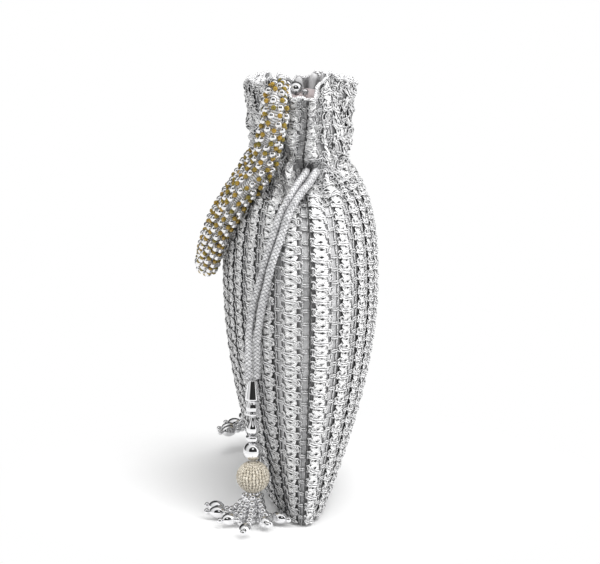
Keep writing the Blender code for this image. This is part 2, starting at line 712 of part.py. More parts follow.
def make_root_beads(path, silver):
    """A large and a small bead where each end of the handle goes into the collar."""
    ends = (("near", path[0], path[1]), ("far", path[-1], path[-2]))
    for side, end, inner in ends:
        direction = (end - inner).normalized()
        centre = end + direction * (ROOT_BEAD_RADIUS + PIECE_GAP)
        large = oval_profile(ROOT_BEAD_RADIUS, 2.0 * ROOT_BEAD_RADIUS, ROOT_BEAD_BANDS)
        make_turned(f"handle_{side}_root_bead", large, centre, TURNED_STEPS, silver)
        reach = ROOT_BEAD_RADIUS + SMALL_ROOT_BEAD_RADIUS + PIECE_GAP
        small_centre = centre + direction * reach
        small = oval_profile(SMALL_ROOT_BEAD_RADIUS, 2.0 * SMALL_ROOT_BEAD_RADIUS, SMALL_ROOT_BEAD_BANDS)
        make_turned(f"handle_{side}_small_bead", small, small_centre, FRINGE_DROP_STEPS, silver)


lace = make_material("silver_lace", (0.62, 0.62, 0.63), 0.45, 0.35)
satin = make_material("pink_grey_satin", (0.60, 0.55, 0.55), 0.50, 0.0)
cord_silver = make_material("silver_cord", (0.68, 0.68, 0.70), 0.40, 0.45)
bead_silver = make_material("silver_bead", (0.82, 0.82, 0.84), 0.12, 1.0)
polished_metal = make_material("polished_metal", (0.85, 0.85, 0.86), 0.08, 1.0)
ivory_beads = make_material("ivory_beads", (0.74, 0.71, 0.63), 0.35, 0.0)

make_panels(lace)
make_lining(satin)
make_drawstrings(cord_silver)
make_tassel("near_tassel", Vector, 1.0, bead_silver, polished_metal, ivory_beads)
make_tassel("far_tassel", far_place, FAR_FRINGE_SPREAD, bead_silver, polished_metal, ivory_beads)
handle_path = make_handle(bead_silver)
make_root_beads(handle_path, bead_silver)
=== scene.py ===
import math

import bpy
import numpy as np
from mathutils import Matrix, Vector


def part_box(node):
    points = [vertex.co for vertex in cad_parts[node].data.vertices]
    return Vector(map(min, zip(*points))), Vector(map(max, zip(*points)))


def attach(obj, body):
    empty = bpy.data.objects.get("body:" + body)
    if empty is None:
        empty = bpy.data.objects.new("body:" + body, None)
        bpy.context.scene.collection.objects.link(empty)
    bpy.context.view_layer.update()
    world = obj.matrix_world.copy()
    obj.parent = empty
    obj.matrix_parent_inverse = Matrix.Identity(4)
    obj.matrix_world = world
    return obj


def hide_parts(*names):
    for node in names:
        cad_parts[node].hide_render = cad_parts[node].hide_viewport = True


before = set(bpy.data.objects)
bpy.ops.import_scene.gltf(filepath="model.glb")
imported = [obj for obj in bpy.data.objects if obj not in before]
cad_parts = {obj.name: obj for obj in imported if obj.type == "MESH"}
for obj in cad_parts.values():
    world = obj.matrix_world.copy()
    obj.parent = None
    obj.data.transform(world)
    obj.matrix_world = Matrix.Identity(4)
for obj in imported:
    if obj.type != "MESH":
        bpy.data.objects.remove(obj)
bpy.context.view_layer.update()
mm = 0.001
tau = 2.0 * math.pi
scene = bpy.context.scene

print("stage: camera, light and floor")

shot = {
    "target": (0.0, 0.0, 0.112), "distance": 1.3, "lens": 144.4,
    "azimuth": 86.35,       # degrees: 90 looks straight at the side seam
    "elevation": 10.0,
}


def viewDirection(azimuth, elevation):
    # unit vector from the target to a place seen at this azimuth and elevation
    a, e = math.radians(azimuth), math.radians(elevation)
    return Vector((math.cos(e) * math.sin(a), -math.cos(e) * math.cos(a), math.sin(e)))


def standAt(obj, azimuth, elevation, distance):
    # puts a camera or lamp into the scene, facing the target
    scene.collection.objects.link(obj)
    obj.location = Vector(shot["target"]) + viewDirection(azimuth, elevation) * distance
    obj.rotation_euler = (Vector(shot["target"]) - obj.location).to_track_quat("-Z", "Y").to_euler()


cameraData = bpy.data.cameras.new("camera")
cameraData.lens = shot["lens"]
cameraData.sensor_fit = "HORIZONTAL"
cameraData.clip_start = 0.01
camera = bpy.data.objects.new("camera", cameraData)
standAt(camera, shot["azimuth"], shot["elevation"], shot["distance"])
scene.camera = camera
scene.view_settings.view_transform = "Standard"

lamps = [
    # name, azimuth, elevation, distance, size, power
    ("key_lamp", 134.0, 40.0, 1.35, 1.6, 29.0),
    ("fill_lamp", 28.0, 32.0, 1.40, 1.5, 7.0),
    ("back_lamp", 250.0, 50.0, 1.50, 1.4, 7.0),
    ("top_lamp", 80.0, 84.0, 1.30, 1.3, 14.0),
]
for name, azimuth, elevation, distance, size, power in lamps:
    data = bpy.data.lights.new(name, "AREA")
    data.shape = "DISK"
    data.size = size
    data.energy = power
    lamp = bpy.data.objects.new(name, data)
    lamp.visible_camera = False
    lamp.visible_glossy = False      # mirrors show the room instead of lamps
    standAt(lamp, azimuth, elevation, distance)


def feed(tree, socket, value):
    # a socket takes another node's output, or else a plain value
    if isinstance(value, bpy.types.NodeSocket):
        tree.links.new(value, socket)
    else:
        socket.default_value = value


def addNode(tree, kind, **sockets):
    node = tree.nodes.new("ShaderNode" + kind)
    for key, value in sockets.items():
        feed(tree, node.inputs[key.replace("_", " ")], value)
    return node


def feedInOrder(tree, node, values):
    for socket, value in zip(node.inputs, values):
        feed(tree, socket, value)


def mathNode(tree, operation, *values):
    # one sum, product or sine of numbers or of other nodes' outputs
    node = addNode(tree, "Math")
    node.operation = operation
    feedInOrder(tree, node, values)
    return node.outputs[0]


def vectorValue(tree, operation, *values):
    # the length of a vector, or the dot product of two
    node = addNode(tree, "VectorMath")
    node.operation = operation
    feedInOrder(tree, node, values)
    return node.outputs["Value"]


def fade(tree, value, low, high, least):
    # from least at low to 1 at high, eased at both ends
    node = addNode(tree, "MapRange", Value=value, From_Min=low, From_Max=high, To_Min=least, To_Max=1.0)
    node.interpolation_type = "SMOOTHSTEP"
    return node.outputs[0]


def rayMask(tree):
    # 1 for camera, glossy and transmission rays, which see the floor's white; other rays see its shade
    rays = addNode(tree, "LightPath").outputs
    seen = mathNode(tree, "MAXIMUM", rays["Is Camera Ray"], rays["Is Glossy Ray"])
    return mathNode(tree, "MAXIMUM", seen, rays["Is Transmission Ray"])


roomLook = {
    "ambient": 0.56,
    # brightness in mirrors against the angle from the camera, in degrees: dark round the lens, a bright band at the
    # sides, and a dark back of the room
    "mirror": [(0, 0.03), (46, 0.03), (54, 1.10), (88, 1.00), (104, 0.30), (116, 0.05), (180, 0.03)],
    "spot": (86.35, 38.0), "spotHalf": 11.0,      # a lamp over the lens, in mirrors: its place and half angle
    "rightward": 0.30,      # how much paler the right side is than the left one
}


def whiteRoom():
    # plain white to the eye, dim as a light, and in mirrors the bands and the lamp above
    world = bpy.data.worlds.new("room")
    world.use_nodes = True
    tree = world.node_tree
    tree.nodes.clear()
    rays = addNode(tree, "LightPath").outputs
    way = addNode(tree, "TexCoord").outputs["Generated"]
    toward = vectorValue(tree, "DOT_PRODUCT", way, viewDirection(shot["azimuth"], shot["elevation"]))
    share = mathNode(tree, "MULTIPLY", mathNode(tree, "ARCCOSINE", toward), 1.0 / math.pi)
    bands = addNode(tree, "ValToRGB", Fac=share)
    stops = bands.color_ramp.elements
    for k, (degrees, level) in enumerate(roomLook["mirror"]):
        stop = stops[k] if k < 2 else stops.new(degrees / 180.0)
        stop.position = degrees / 180.0
        stop.color = (level, level, level, 1.0)
    toSpot = vectorValue(tree, "DOT_PRODUCT", way, viewDirection(*roomLook["spot"]))
    spot = mathNode(tree, "GREATER_THAN", toSpot, math.cos(math.radians(roomLook["spotHalf"])))
    sideways = addNode(tree, "SeparateXYZ", Vector=way).outputs["Y"]
    paler = addNode(tree, "MapRange", Value=sideways, From_Min=-1.0, From_Max=1.0,
                    To_Min=1.0 - roomLook["rightward"], To_Max=1.0 + roomLook["rightward"]).outputs[0]
    mirror = mathNode(tree, "MULTIPLY", mathNode(tree, "MAXIMUM", bands.outputs["Color"], spot), paler)
    level = addNode(tree, "Mix", Factor=rays["Is Glossy Ray"], A=roomLook["ambient"], B=mirror).outputs[0]
    seen = addNode(tree, "Mix", Factor=rays["Is Camera Ray"], A=level, B=1.0).outputs[0]
    room = addNode(tree, "Background", Color=(1, 1, 1, 1), Strength=seen)
    addNode(tree, "OutputWorld", Surface=room.outputs[0])
    scene.world = world


whiteRoom()

floorLook = {"size": 6.0, "level": -0.0002, "nearRadius": 0.06, "farRadius": 0.17, "colour": 0.64}


def layFloor():
    # a plane whose own shade, near the bag, eases into plain white further out
    half = floorLook["size"] / 2.0
    mesh = bpy.data.meshes.new("floor")
    mesh.from_pydata([(-half, -half, 0), (half, -half, 0), (half, half, 0), (-half, half, 0)], [], [(0, 1, 2, 3)])
    floor = bpy.data.objects.new("floor", mesh)
    scene.collection.objects.link(floor)
    floor.location = (0.0, 0.0, floorLook["level"])
    material = bpy.data.materials.new("floor_white")
    material.use_nodes = True
    tree = material.node_tree
    tree.nodes.clear()
    shade = addNode(tree, "BsdfDiffuse", Color=(floorLook["colour"],) * 3 + (1,))
    glow = addNode(tree, "Emission", Color=(1, 1, 1, 1), Strength=1.0)
    reach = vectorValue(tree, "LENGTH", addNode(tree, "TexCoord").outputs["Object"])
    far = fade(tree, reach, floorLook["nearRadius"], floorLook["farRadius"], 0.0)
    mix = addNode(tree, "MixShader")
    feedInOrder(tree, mix, (mathNode(tree, "MULTIPLY", far, rayMask(tree)), shade.outputs[0], glow.outputs[0]))
    addNode(tree, "OutputMaterial", Surface=mix.outputs[0])
    mesh.materials.append(material)


layFloor()

print("finishes: satin, thread, ribbon, beads")


def startMaterial(name, low, high, scale, roughness, metallic, **more):
    # base colour drifts between two tones with soft noise in the object's own coordinates
    material = bpy.data.materials.new(name)
    material.use_nodes = True
    tree = material.node_tree
    shader = tree.nodes["Principled BSDF"]
    shader.inputs["Base Color"].default_value = (*high, 1.0)
    place = addNode(tree, "TexCoord").outputs["Object"]
    noise = addNode(tree, "TexNoise", Vector=place, Scale=scale, Detail=3.0)
    ramp = addNode(tree, "ValToRGB", Fac=noise.outputs["Fac"])
    for stop, position, colour in zip(ramp.color_ramp.elements, (0.35, 0.65), (low, high)):
        stop.position = position
        stop.color = (*colour, 1.0)
    sockets = {"Base_Color": ramp.outputs["Color"], "Roughness": roughness, "Metallic": metallic, **more}
    for key, value in sockets.items():
        feed(tree, shader.inputs[key.replace("_", " ")], value)
    return material, tree, shader, place


def darken(tree, shader, shade):
    # base colour times a grey shade
    mix = addNode(tree, "Mix")
    mix.data_type = "RGBA"
    mix.blend_type = "MULTIPLY"
    colour = shader.inputs["Base Color"]
    for key, value in (("Factor", 1.0), ("A", colour.links[0].from_socket), ("B", shade)):
        feed(tree, mix.inputs[key], value)
    feed(tree, colour, mix.outputs["Result"])


def mapPlace(tree):
    node = addNode(tree, "UVMap")
    node.uv_map = "UVMap"
    return node.outputs["UV"]


def mapAxes(tree):
    # the map's two directions as numbers
    return addNode(tree, "SeparateXYZ", Vector=mapPlace(tree)).outputs[:2]


def addBump(tree, shader, height, strength, distance):
    bump = addNode(tree, "Bump", Strength=strength, Distance=distance, Height=height)
    tree.links.new(bump.outputs["Normal"], shader.inputs["Normal"])


def satinMaterial(name, low, high, roughness, metallic, columns=0.0):
    # fine over-and-under weave: the sum of two crossed waves, with slow mottling
    material, tree, shader, place = startMaterial(name, low, high, 60.0, roughness, metallic, Sheen_Weight=0.25)
    threads = []
    for direction, scale, wobble in (("X", 1.6, 0.4), ("Y", 0.8, 0.6)):
        wave = addNode(tree, "TexWave", Vector=mapPlace(tree), Scale=scale, Distortion=wobble, Detail=1.0)
        wave.bands_direction = direction
        threads.append(wave.outputs["Fac"])
    addBump(tree, shader, mathNode(tree, "ADD", *threads), 0.25, 0.0001)
    if columns:
        # deep shade under the braids, as a cosine of the way across a column; none in the ladders
        across = mathNode(tree, "MULTIPLY", mapAxes(tree)[0], tau / columns)
        darken(tree, shader, fade(tree, mathNode(tree, "COSINE", across), 0.05, 0.60, 0.34))
    return material


threadNoise = 420.0     # how fine the mottling of threads and cords is


def threadMaterial(name, low, high, roughness, metallic, twist, grooveShade, flankShade=None, plies=3.0):
    # plied thread: stripes that wind round it, from the map's two directions (round 0 to 1, along in millimetres),
    # with painted shade in the hollows between the plies; a thread's sides, where it sinks between its neighbours, can
    # get painted shade too, as the sine of the way round
    material, tree, shader, place = startMaterial(name, low, high, threadNoise, roughness, metallic)
    around, along = mapAxes(tree)
    turns = mathNode(tree, "MULTIPLY_ADD", around, plies, mathNode(tree, "MULTIPLY", along, twist))
    wave = mathNode(tree, "SINE", mathNode(tree, "MULTIPLY", turns, tau))
    addBump(tree, shader, wave, 0.6, 0.0001)
    # painted shade in the hollows between the plies
    darken(tree, shader, fade(tree, wave, -1.0, -0.1, grooveShade))
    if flankShade:
        # painted shade: darker on the thread's sides and underside, paler on its top
        upward = mathNode(tree, "SINE", mathNode(tree, "MULTIPLY", mathNode(tree, "ADD", around, 0.1), tau))
        darken(tree, shader, fade(tree, upward, *flankShade))
    return material


def plaitMaterial(name, low, high, roughness, metallic, strands, lay):
    # two families of strands that wind opposite ways: the sine of one where both sines have the same sign, and
    # the sine of the other elsewhere
    material, tree, shader, place = startMaterial(name, low, high, threadNoise, roughness, metallic)
    around, along = mapAxes(tree)
    turned = mathNode(tree, "MULTIPLY", around, float(strands))
    run = mathNode(tree, "MULTIPLY", along, strands / lay)
    waves = [mathNode(tree, "SINE", mathNode(tree, "MULTIPLY", mathNode(tree, way, turned, run), math.pi))
             for way in ("ADD", "SUBTRACT")]
    over = mathNode(tree, "GREATER_THAN", mathNode(tree, "MULTIPLY", *waves), 0.0)
    shares = (over, mathNode(tree, "SUBTRACT", 1.0, over))
    shown = mathNode(tree, "ADD", *(mathNode(tree, "MULTIPLY", mathNode(tree, "ABSOLUTE", wave), share)
                                    for wave, share in zip(waves, shares)))
    # painted shade where a strand dips under the other family, paler on the strands' crowns
    darken(tree, shader, fade(tree, shown, 0.10, 0.75, 0.25))
    addBump(tree, shader, shown, 0.8, 0.0003)
    return material


def beadMaterial(name, low, high, roughness, metallic, scale, **more):
    material, tree, shader, place = startMaterial(name, low, high, scale, roughness, metallic, **more)
    grain = addNode(tree, "TexNoise", Vector=place, Scale=900.0, Detail=2.0)
    addBump(tree, shader, grain.outputs["Fac"], 0.04, 0.0001)
    return material


columnPitch = 17.3     # millimetres of the satin's map for one column of lace
satinGrey = satinMaterial("satin_grey", (0.34, 0.34, 0.345), (0.52, 0.52, 0.525), 0.40, 0.10, columnPitch)
satinPink = satinMaterial("satin_pink_grey", (0.36, 0.31, 0.31), (0.50, 0.45, 0.45), 0.42, 0.0)
laceThread = threadMaterial("lace_thread", (0.76, 0.76, 0.77), (0.92, 0.92, 0.92), 0.26, 0.30, 0.55, 0.45,
                            (0.05, 0.72, 0.14))
laceRibbon = threadMaterial("lace_ribbon", (0.76, 0.76, 0.76), (0.90, 0.90, 0.90), 0.42, 0.15, 0.0, 0.45,
                            (0.12, 0.66, 0.10), plies=9.0)
cordSilver = plaitMaterial("cord_silver", (0.44, 0.44, 0.45), (0.74, 0.74, 0.75), 0.28, 0.35, 4, 8.0)
hemThread = threadMaterial("hem_thread", (0.72, 0.72, 0.73), (0.95, 0.95, 0.96), 0.30, 0.20, 0.80, 0.15)
# near-black: painted shade for the gap along the side seams
seamShadeThread = threadMaterial("seam_shade_thread", (0.03, 0.03, 0.03), (0.06, 0.06, 0.06), 0.6, 0.0, 1.0, 0.6)
beadSilver = beadMaterial("bead_silver", (0.86, 0.86, 0.87), (0.94, 0.94, 0.95), 0.05, 1.0, 90.0)
beadAmber = beadMaterial("bead_amber", (0.17, 0.14, 0.015), (0.38, 0.23, 0.03), 0.10, 0.45, 220.0, Coat_Weight=0.6)
beadIvory = beadMaterial("bead_ivory", (0.38, 0.34, 0.27), (0.58, 0.54, 0.46), 0.14, 0.05, 500.0, Coat_Weight=0.4)
polishedSilver = beadMaterial("polished_silver", (0.88, 0.88, 0.89), (0.95, 0.95, 0.96), 0.04, 1.0, 60.0)

print("shape helpers")


def gridFaces(rows, cols, closed, flip=False):
    # quads of a rows by cols grid of points; closed joins the last column to the first
    across = cols if closed else cols - 1
    i = np.arange(rows - 1)[:, None]
    j = np.arange(across)[None, :]
    after = (j + 1) % cols
    a, b, c, d = i * cols + j, i * cols + after, (i + 1) * cols + after, (i + 1) * cols + j
    order = (a, d, c, b) if flip else (a, b, c, d)
    return np.stack([np.broadcast_to(q, (rows - 1, across)) for q in order], -1).reshape(-1, 4)


def gridMap(rows, cols, closed, rowValue, colSpan):
    # the map's values at each corner of the quads above: across 0 to colSpan, and rowValue along
    across = cols if closed else cols - 1
    i = np.arange(rows - 1)[:, None] * np.ones((1, across), int)
    j = np.ones((rows - 1, 1), int) * np.arange(across)[None, :]
    out = [np.stack([(j + dj) / across * colSpan, rowValue[i + di]], -1) for di, dj in ((0, 0), (0, 1), (1, 1), (1, 0))]
    return np.stack(out, 2).reshape(-1, 2)


def ringFaces(rings, around, flip=False):
    # quads round a stack of rings, and triangles to the two end points that follow the last ring
    k = np.arange(around)
    after = (k + 1) % around
    base = (rings - 1) * around
    ends = [(k, after), (base + after, base + k)] if flip else [(after, k), (base + k, base + after)]
    tris = [np.stack([np.full(around, rings * around + i), *pair], -1) for i, pair in enumerate(ends)]
    return gridFaces(rings, around, True, flip), np.concatenate(tris)


def addPiece(name, parts, material, node):
    # whole arrays into a smooth mesh that stands in for a CAD node; the map has one row for each corner of the
    # quads, and the triangles' corners stay at 0
    verts, quads, tris, maps = parts
    tris = np.zeros((0, 3), int) if tris is None else tris
    corners = np.concatenate([quads.reshape(-1), tris.reshape(-1)])
    sizes = np.repeat([4, 3], [len(quads), len(tris)])
    mesh = bpy.data.meshes.new(name)
    mesh.vertices.add(len(verts))
    mesh.vertices.foreach_set("co", np.ascontiguousarray(verts, dtype=np.float32).ravel())
    mesh.loops.add(len(corners))
    mesh.loops.foreach_set("vertex_index", corners.astype(np.int32))
    mesh.polygons.add(len(sizes))
    mesh.polygons.foreach_set("loop_start", np.concatenate([[0], np.cumsum(sizes)[:-1]]).astype(np.int32))
    mesh.polygons.foreach_set("use_smooth", np.ones(len(sizes), dtype=bool))
    mesh.update(calc_edges=True)
    layer = mesh.uv_layers.new(name="UVMap")
    if maps is not None:
        full = np.zeros((len(corners), 2), dtype=np.float32)
        full[:len(maps)] = maps
        layer.data.foreach_set("uv", full.ravel())
    mesh.materials.append(material)
    obj = bpy.data.objects.new(name, mesh)
    scene.collection.objects.link(obj)
    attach(obj, "root")
    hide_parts(node)
    return obj


def addWall(obj, thickness):
    wall = obj.modifiers.new("wall", "SOLIDIFY")
    wall.thickness = thickness
    wall.offset = -1.0


def joinParts(parts):
    # several (verts, quads, tris, quad map) sets into one; a map may be None
    verts, quads, tris, maps = zip(*parts)
    starts = np.cumsum([0] + [len(v) for v in verts[:-1]])
    maps = [np.zeros((len(q) * 4, 2)) if m is None else m for q, m in zip(quads, maps)]
    return (np.concatenate(verts), np.concatenate([q + s for q, s in zip(quads, starts)]),
            np.concatenate([t + s for t, s in zip(tris, starts)]), np.concatenate(maps))


def unitRows(v):
    return v / np.maximum(np.linalg.norm(v, axis=-1, keepdims=True), 1e-12)


def runAlong(path):
    # the length from a path's start to each of its points
    return np.concatenate([[0], np.cumsum(np.linalg.norm(np.diff(path, axis=0), axis=1))])


def ballPoints(polar, turn):
    # unit vectors from the angle down from Z and the angle round it
    return np.stack(np.broadcast_arrays(np.sin(polar) * np.cos(turn), np.sin(polar) * np.sin(turn), np.cos(polar)),
                    -1).reshape(-1, 3)


def beadShape(around, bands):
    # a unit ball: rings between two poles
    ring = ballPoints((np.pi * np.arange(1, bands) / bands)[:, None], tau * np.arange(around) / around)
    return np.concatenate([ring, [[0, 0, 1.0], [0, 0, -1.0]]]), *ringFaces(bands - 1, around, flip=True)


def frameAxes(direction):
    # two unit vectors square to each direction, for turning a shape that stands on Z
    d = unitRows(direction)
    helper = np.where(np.abs(d[:, 2:3]) < 0.9, np.array([[0, 0, 1.0]]), np.array([[1.0, 0, 0]]))
    x = unitRows(np.cross(helper, d))
    return x, np.cross(d, x), d


def strewBeads(places, radii, around, bands, axes=None, stretch=1.0):
    # one ball at every place, as whole arrays; axes turns each ball's Z and stretch lengthens it there
    shape, quads, tris = beadShape(around, bands)
    places = np.asarray(places, float)
    count = len(places)
    radii = np.broadcast_to(np.asarray(radii, float), (count,))
    if axes is None:
        local = shape[None] * radii[:, None, None]
    else:
        x, y, z = frameAxes(np.asarray(axes, float))
        local = (shape[None, :, 0:1] * x[:, None] + shape[None, :, 1:2] * y[:, None]
                 + shape[None, :, 2:3] * stretch * z[:, None]) * radii[:, None, None]
    verts = (places[:, None] + local).reshape(-1, 3)
    step = (np.arange(count) * len(shape))[:, None, None]
    return verts, (quads[None] + step).reshape(-1, 4), (tris[None] + step).reshape(-1, 3), None


def smoothPath(points, spacing):
    # evenly spaced points on a Catmull-Rom curve through the given ones
    p = np.asarray(points, float)
    ends = np.concatenate([[2 * p[0] - p[1]], p, [2 * p[-1] - p[-2]]])
    t = np.linspace(0, 1, 25)[:-1][None, :, None]
    a, b, c, d = (ends[k:len(ends) - 3 + k][:, None] for k in range(4))
    curve = 0.5 * (2 * b + (c - a) * t + (2 * a - 5 * b + 4 * c - d) * t ** 2 + (3 * b - a - 3 * c + d) * t ** 3)
    fine = np.concatenate([curve.reshape(-1, 3), p[-1:]])
    run = runAlong(fine)
    want = np.linspace(0, run[-1], max(2, int(round(run[-1] / spacing))) + 1)
    return sampleRows(want, run, fine)


def sampleRows(want, run, rows):
    # rows of three numbers, known at each run, read off at the wanted runs
    return np.stack([np.interp(want, run, rows[:, k]) for k in range(3)], -1)


def pathAxes(path):
    # tangent and a side vector that turns as little as it can along the path
    tangent = unitRows(np.gradient(path, axis=0))
    side = np.zeros_like(tangent)
    start = np.cross(tangent[0], [0.0, 0.0, 1.0])
    if np.linalg.norm(start) < 0.1:
        start = np.cross(tangent[0], [1.0, 0.0, 0.0])
    side[0] = start / np.linalg.norm(start)
    for k in range(1, len(path)):
        s = side[k - 1] - tangent[k] * np.dot(side[k - 1], tangent[k])
        side[k] = s / np.linalg.norm(s)
    return tangent, side, np.cross(tangent, side)


def tubeAlong(path, radius, around):
    # rings of points round a path; radius is one number, one for each ring, or one for each point
    path = np.asarray(path, float)
    tangent, side, other = pathAxes(path)
    turn = tau * np.arange(around) / around
    r = np.broadcast_to(np.reshape(radius, (-1, 1)) if np.ndim(radius) == 1 else radius, (len(path), around))
    ring = np.cos(turn)[None, :, None] * side[:, None] + np.sin(turn)[None, :, None] * other[:, None]
    verts = np.concatenate([(path[:, None] + ring * r[:, :, None]).reshape(-1, 3), path[:1], path[-1:]])
    return verts, *ringFaces(len(path), around), gridMap(len(path), around, True, runAlong(path) / mm, 1.0)


def turnedShape(profile, steps, place, around):
    # a profile of (radius, height), smoothed and carried round the upright axis through place; poles at its ends
    p = np.asarray(profile, float)
    p = smoothPath(np.column_stack([p, np.zeros(len(p))]), np.linalg.norm(np.diff(p, axis=0), axis=1).sum() / steps)
    turn = tau * np.arange(around) / around
    radius, height = np.maximum(p[1:-1, :1], 0.0), p[1:-1, 1:2]
    ring = np.stack([radius * np.cos(turn), radius * np.sin(turn), height * np.ones(around)], -1)
    verts = np.concatenate([ring.reshape(-1, 3), [[0, 0, p[0, 1]], [0, 0, p[-1, 1]]]])
    return verts + np.asarray(place, float), *ringFaces(len(p) - 2, around, flip=True), None


print("bag surface")

bag = {
    # half sizes at the base, body, shoulder, neck and rim, then the power of the fall from body to shoulder
    "halfWidths": (0.088, 0.0965, 0.080, 0.056, 0.062, 2.2),
    "halfThicknesses": (0.0175, 0.0415, 0.0350, 0.0250, 0.0290, 2.6),
    "bodyLevel": 0.118, "shoulderLevel": 0.1645, "neckLevel": 0.1815, "height": 0.219,
    "columns": 26,
    "columnShift": -3.2 * mm,      # the near seam runs beside a braid, not in the middle of a ladder
    "gatherDepth": 0.0034, "gatherLength": 0.024, "bodyRelief": 0.0006,
}


def ease(x):
    x = np.clip(x, 0.0, 1.0)
    return x * x * (3.0 - 2.0 * x)


def part(z, low, high, most=1.0):
    # how far z is on the way from one level to another
    return np.clip((z - bag[low]) / (bag[high] - bag[low]), 0, most)


def halfSize(z, base, body, shoulder, neck, rim, power):
    # swells from the base, falls slowly to the shoulder, draws in to the neck, and flares to the rim
    z = np.asarray(z, float)
    swell = base + (body - base) * np.sin(np.clip(z / bag["bodyLevel"], 0, 1) * np.pi / 2) ** 0.85
    fall = body - (body - shoulder) * part(z, "bodyLevel", "shoulderLevel") ** power
    drawn = shoulder + (neck - shoulder) * ease(part(z, "shoulderLevel", "neckLevel") ** 0.75)
    collar = neck + (rim - neck) * part(z, "neckLevel", "height", 1.1)
    out = np.where(z <= bag["bodyLevel"], swell, fall)
    out = np.where(z > bag["shoulderLevel"], drawn, out)
    return np.where(z > bag["neckLevel"], collar, out)


def halfWidth(z):
    return halfSize(z, *bag["halfWidths"])


def halfThickness(z):
    return halfSize(z, *bag["halfThicknesses"])


# for each level, the angle of an ellipse at each share of its edge, from +X towards +Y
tableLevels = np.linspace(-0.002, 0.226, 229)
tableFine = np.linspace(0, tau, 1441)
tableSteps = 720


def buildAngleTable():
    x = halfWidth(tableLevels)[:, None] * np.cos(tableFine)
    y = halfThickness(tableLevels)[:, None] * np.sin(tableFine)
    step = np.hypot(np.diff(x, axis=1), np.diff(y, axis=1))
    run = np.concatenate([np.zeros((len(x), 1)), np.cumsum(step, axis=1)], axis=1)
    shares = np.linspace(0, 1, tableSteps + 1)
    return np.stack([np.interp(shares, r / r[-1], tableFine) for r in run]), run[:, -1]


angleTable, edgeLength = buildAngleTable()


def lookUp(s, z):
    # two-way interpolation in the angle table
    row = np.clip((z - tableLevels[0]) / (tableLevels[1] - tableLevels[0]), 0, len(tableLevels) - 1.001)
    col = np.mod(s, 1.0) * tableSteps
    r0, c0 = row.astype(int), np.minimum(col.astype(int), tableSteps - 1)
    fr, fc = row - r0, col - c0
    top = angleTable[r0, c0] * (1 - fc) + angleTable[r0, c0 + 1] * fc
    low = angleTable[r0 + 1, c0] * (1 - fc) + angleTable[r0 + 1, c0 + 1] * fc
    return top * (1 - fr) + low * fr


def edgeAt(z):
    return np.interp(z, tableLevels, edgeLength)


def shiftShare(z):
    return bag["columnShift"] / edgeAt(z)


foldDraw = np.random.default_rng(7)
foldDepths = foldDraw.uniform(0.65, 1.25, bag["columns"])
foldLean = foldDraw.uniform(-0.10, 0.10, bag["columns"])


def gatherShare(z):
    below = ease(1.0 - (bag["neckLevel"] - z) / bag["gatherLength"])
    above = 1.0 - 0.5 * ease((z - bag["neckLevel"]) / bag["gatherLength"])
    return np.where(z < bag["neckLevel"], below, above)


def foldHeight(s, z):
    # valleys at the ladders, ridges at the braids, as a cosine; deep at the neck, each ridge a little different
    column = (s - shiftShare(z)) * bag["columns"]
    index = np.mod(np.floor(column).astype(int), bag["columns"])
    inside = column - np.floor(column)
    phase = inside + foldLean[index] * gatherShare(z) * np.sin(np.pi * inside)
    depth = bag["bodyRelief"] + (bag["gatherDepth"] * foldDepths[index] - bag["bodyRelief"]) * gatherShare(z)
    return -depth * (0.5 + 0.5 * np.cos(tau * phase))


crossFolds = [
    # folds round the bag, depth, start, lean: they cross the columns, so that the gathers aren't alike
    (9, 0.0016, 0.10, 30.0), (17, 0.0015, 0.62, -46.0), (31, 0.0007, 0.35, 70.0),
]


def crossHeight(s, z):
    # a sum of sines of the share, whose start drifts with the level
    total = 0.0
    for count, depth, start, drift in crossFolds:
        total = total + depth * np.sin(tau * (count * s + start + drift * (z - bag["neckLevel"])))
    return total * gatherShare(z)


def gatherDrift(s, z):
    # how far the gathers push the columns sideways, as a share of the way round: two sines
    wave = 0.0042 * np.sin(tau * (7 * s + 0.3) + 90.0 * z) + 0.0026 * np.sin(tau * (15 * s + 0.8) - 130.0 * z)
    return wave * gatherShare(z)


puffs = [
    # share round the bag, level, width (share), height (m), rise (m): mounds beside the cord exits
    (0.030, 0.1855, 0.020, 0.0060, 0.0042), (-0.046, 0.1790, 0.024, 0.0066, 0.0058),
    (0.470, 0.1860, 0.020, 0.0060, 0.0040), (0.548, 0.1770, 0.026, 0.0070, 0.0044),
    (-0.120, 0.1800, 0.022, 0.0060, 0.0020), (0.140, 0.1790, 0.024, 0.0060, 0.0020),
    # and hollows at them
    (-0.050, 0.1700, 0.022, 0.0052, -0.0058), (0.008, 0.1790, 0.020, 0.0042, -0.0090),
    (0.492, 0.1840, 0.020, 0.0042, -0.0090),
]


def puffHeight(s, z):
    # a sum of bell curves
    total = np.zeros(np.broadcast(s, z).shape)
    for share, level, width, height, rise in puffs:
        away = np.mod(s - share + 0.5, 1.0) - 0.5
        total = total + rise * np.exp(-(away / width) ** 2 - ((z - level) / height) ** 2)
    return total


def plainPoint(s, z):
    theta = lookUp(s, z)
    return np.stack([halfWidth(z) * np.cos(theta), halfThickness(z) * np.sin(theta), z + 0.0 * theta], -1)


def surfaceNormal(s, z):
    ds, dz = 0.002, 0.0006
    alongS = plainPoint(s + ds, z) - plainPoint(s - ds, z)
    alongZ = plainPoint(s, z + dz) - plainPoint(s, z - dz)
    return unitRows(np.cross(alongS, alongZ))


# distance along the cloth from the base edge, in millimetres, against the level
levelRun = np.linspace(0.0, bag["height"] + 0.004, 600)
slope = np.hypot(1.0, 0.5 * (np.abs(np.gradient(halfWidth(levelRun), levelRun))
                             + np.abs(np.gradient(halfThickness(levelRun), levelRun))))
clothRun = np.concatenate([[0], np.cumsum(0.5 * (slope[1:] + slope[:-1]) * np.diff(levelRun))]) / mm
clothTop = float(np.interp(bag["height"], levelRun, clothRun))

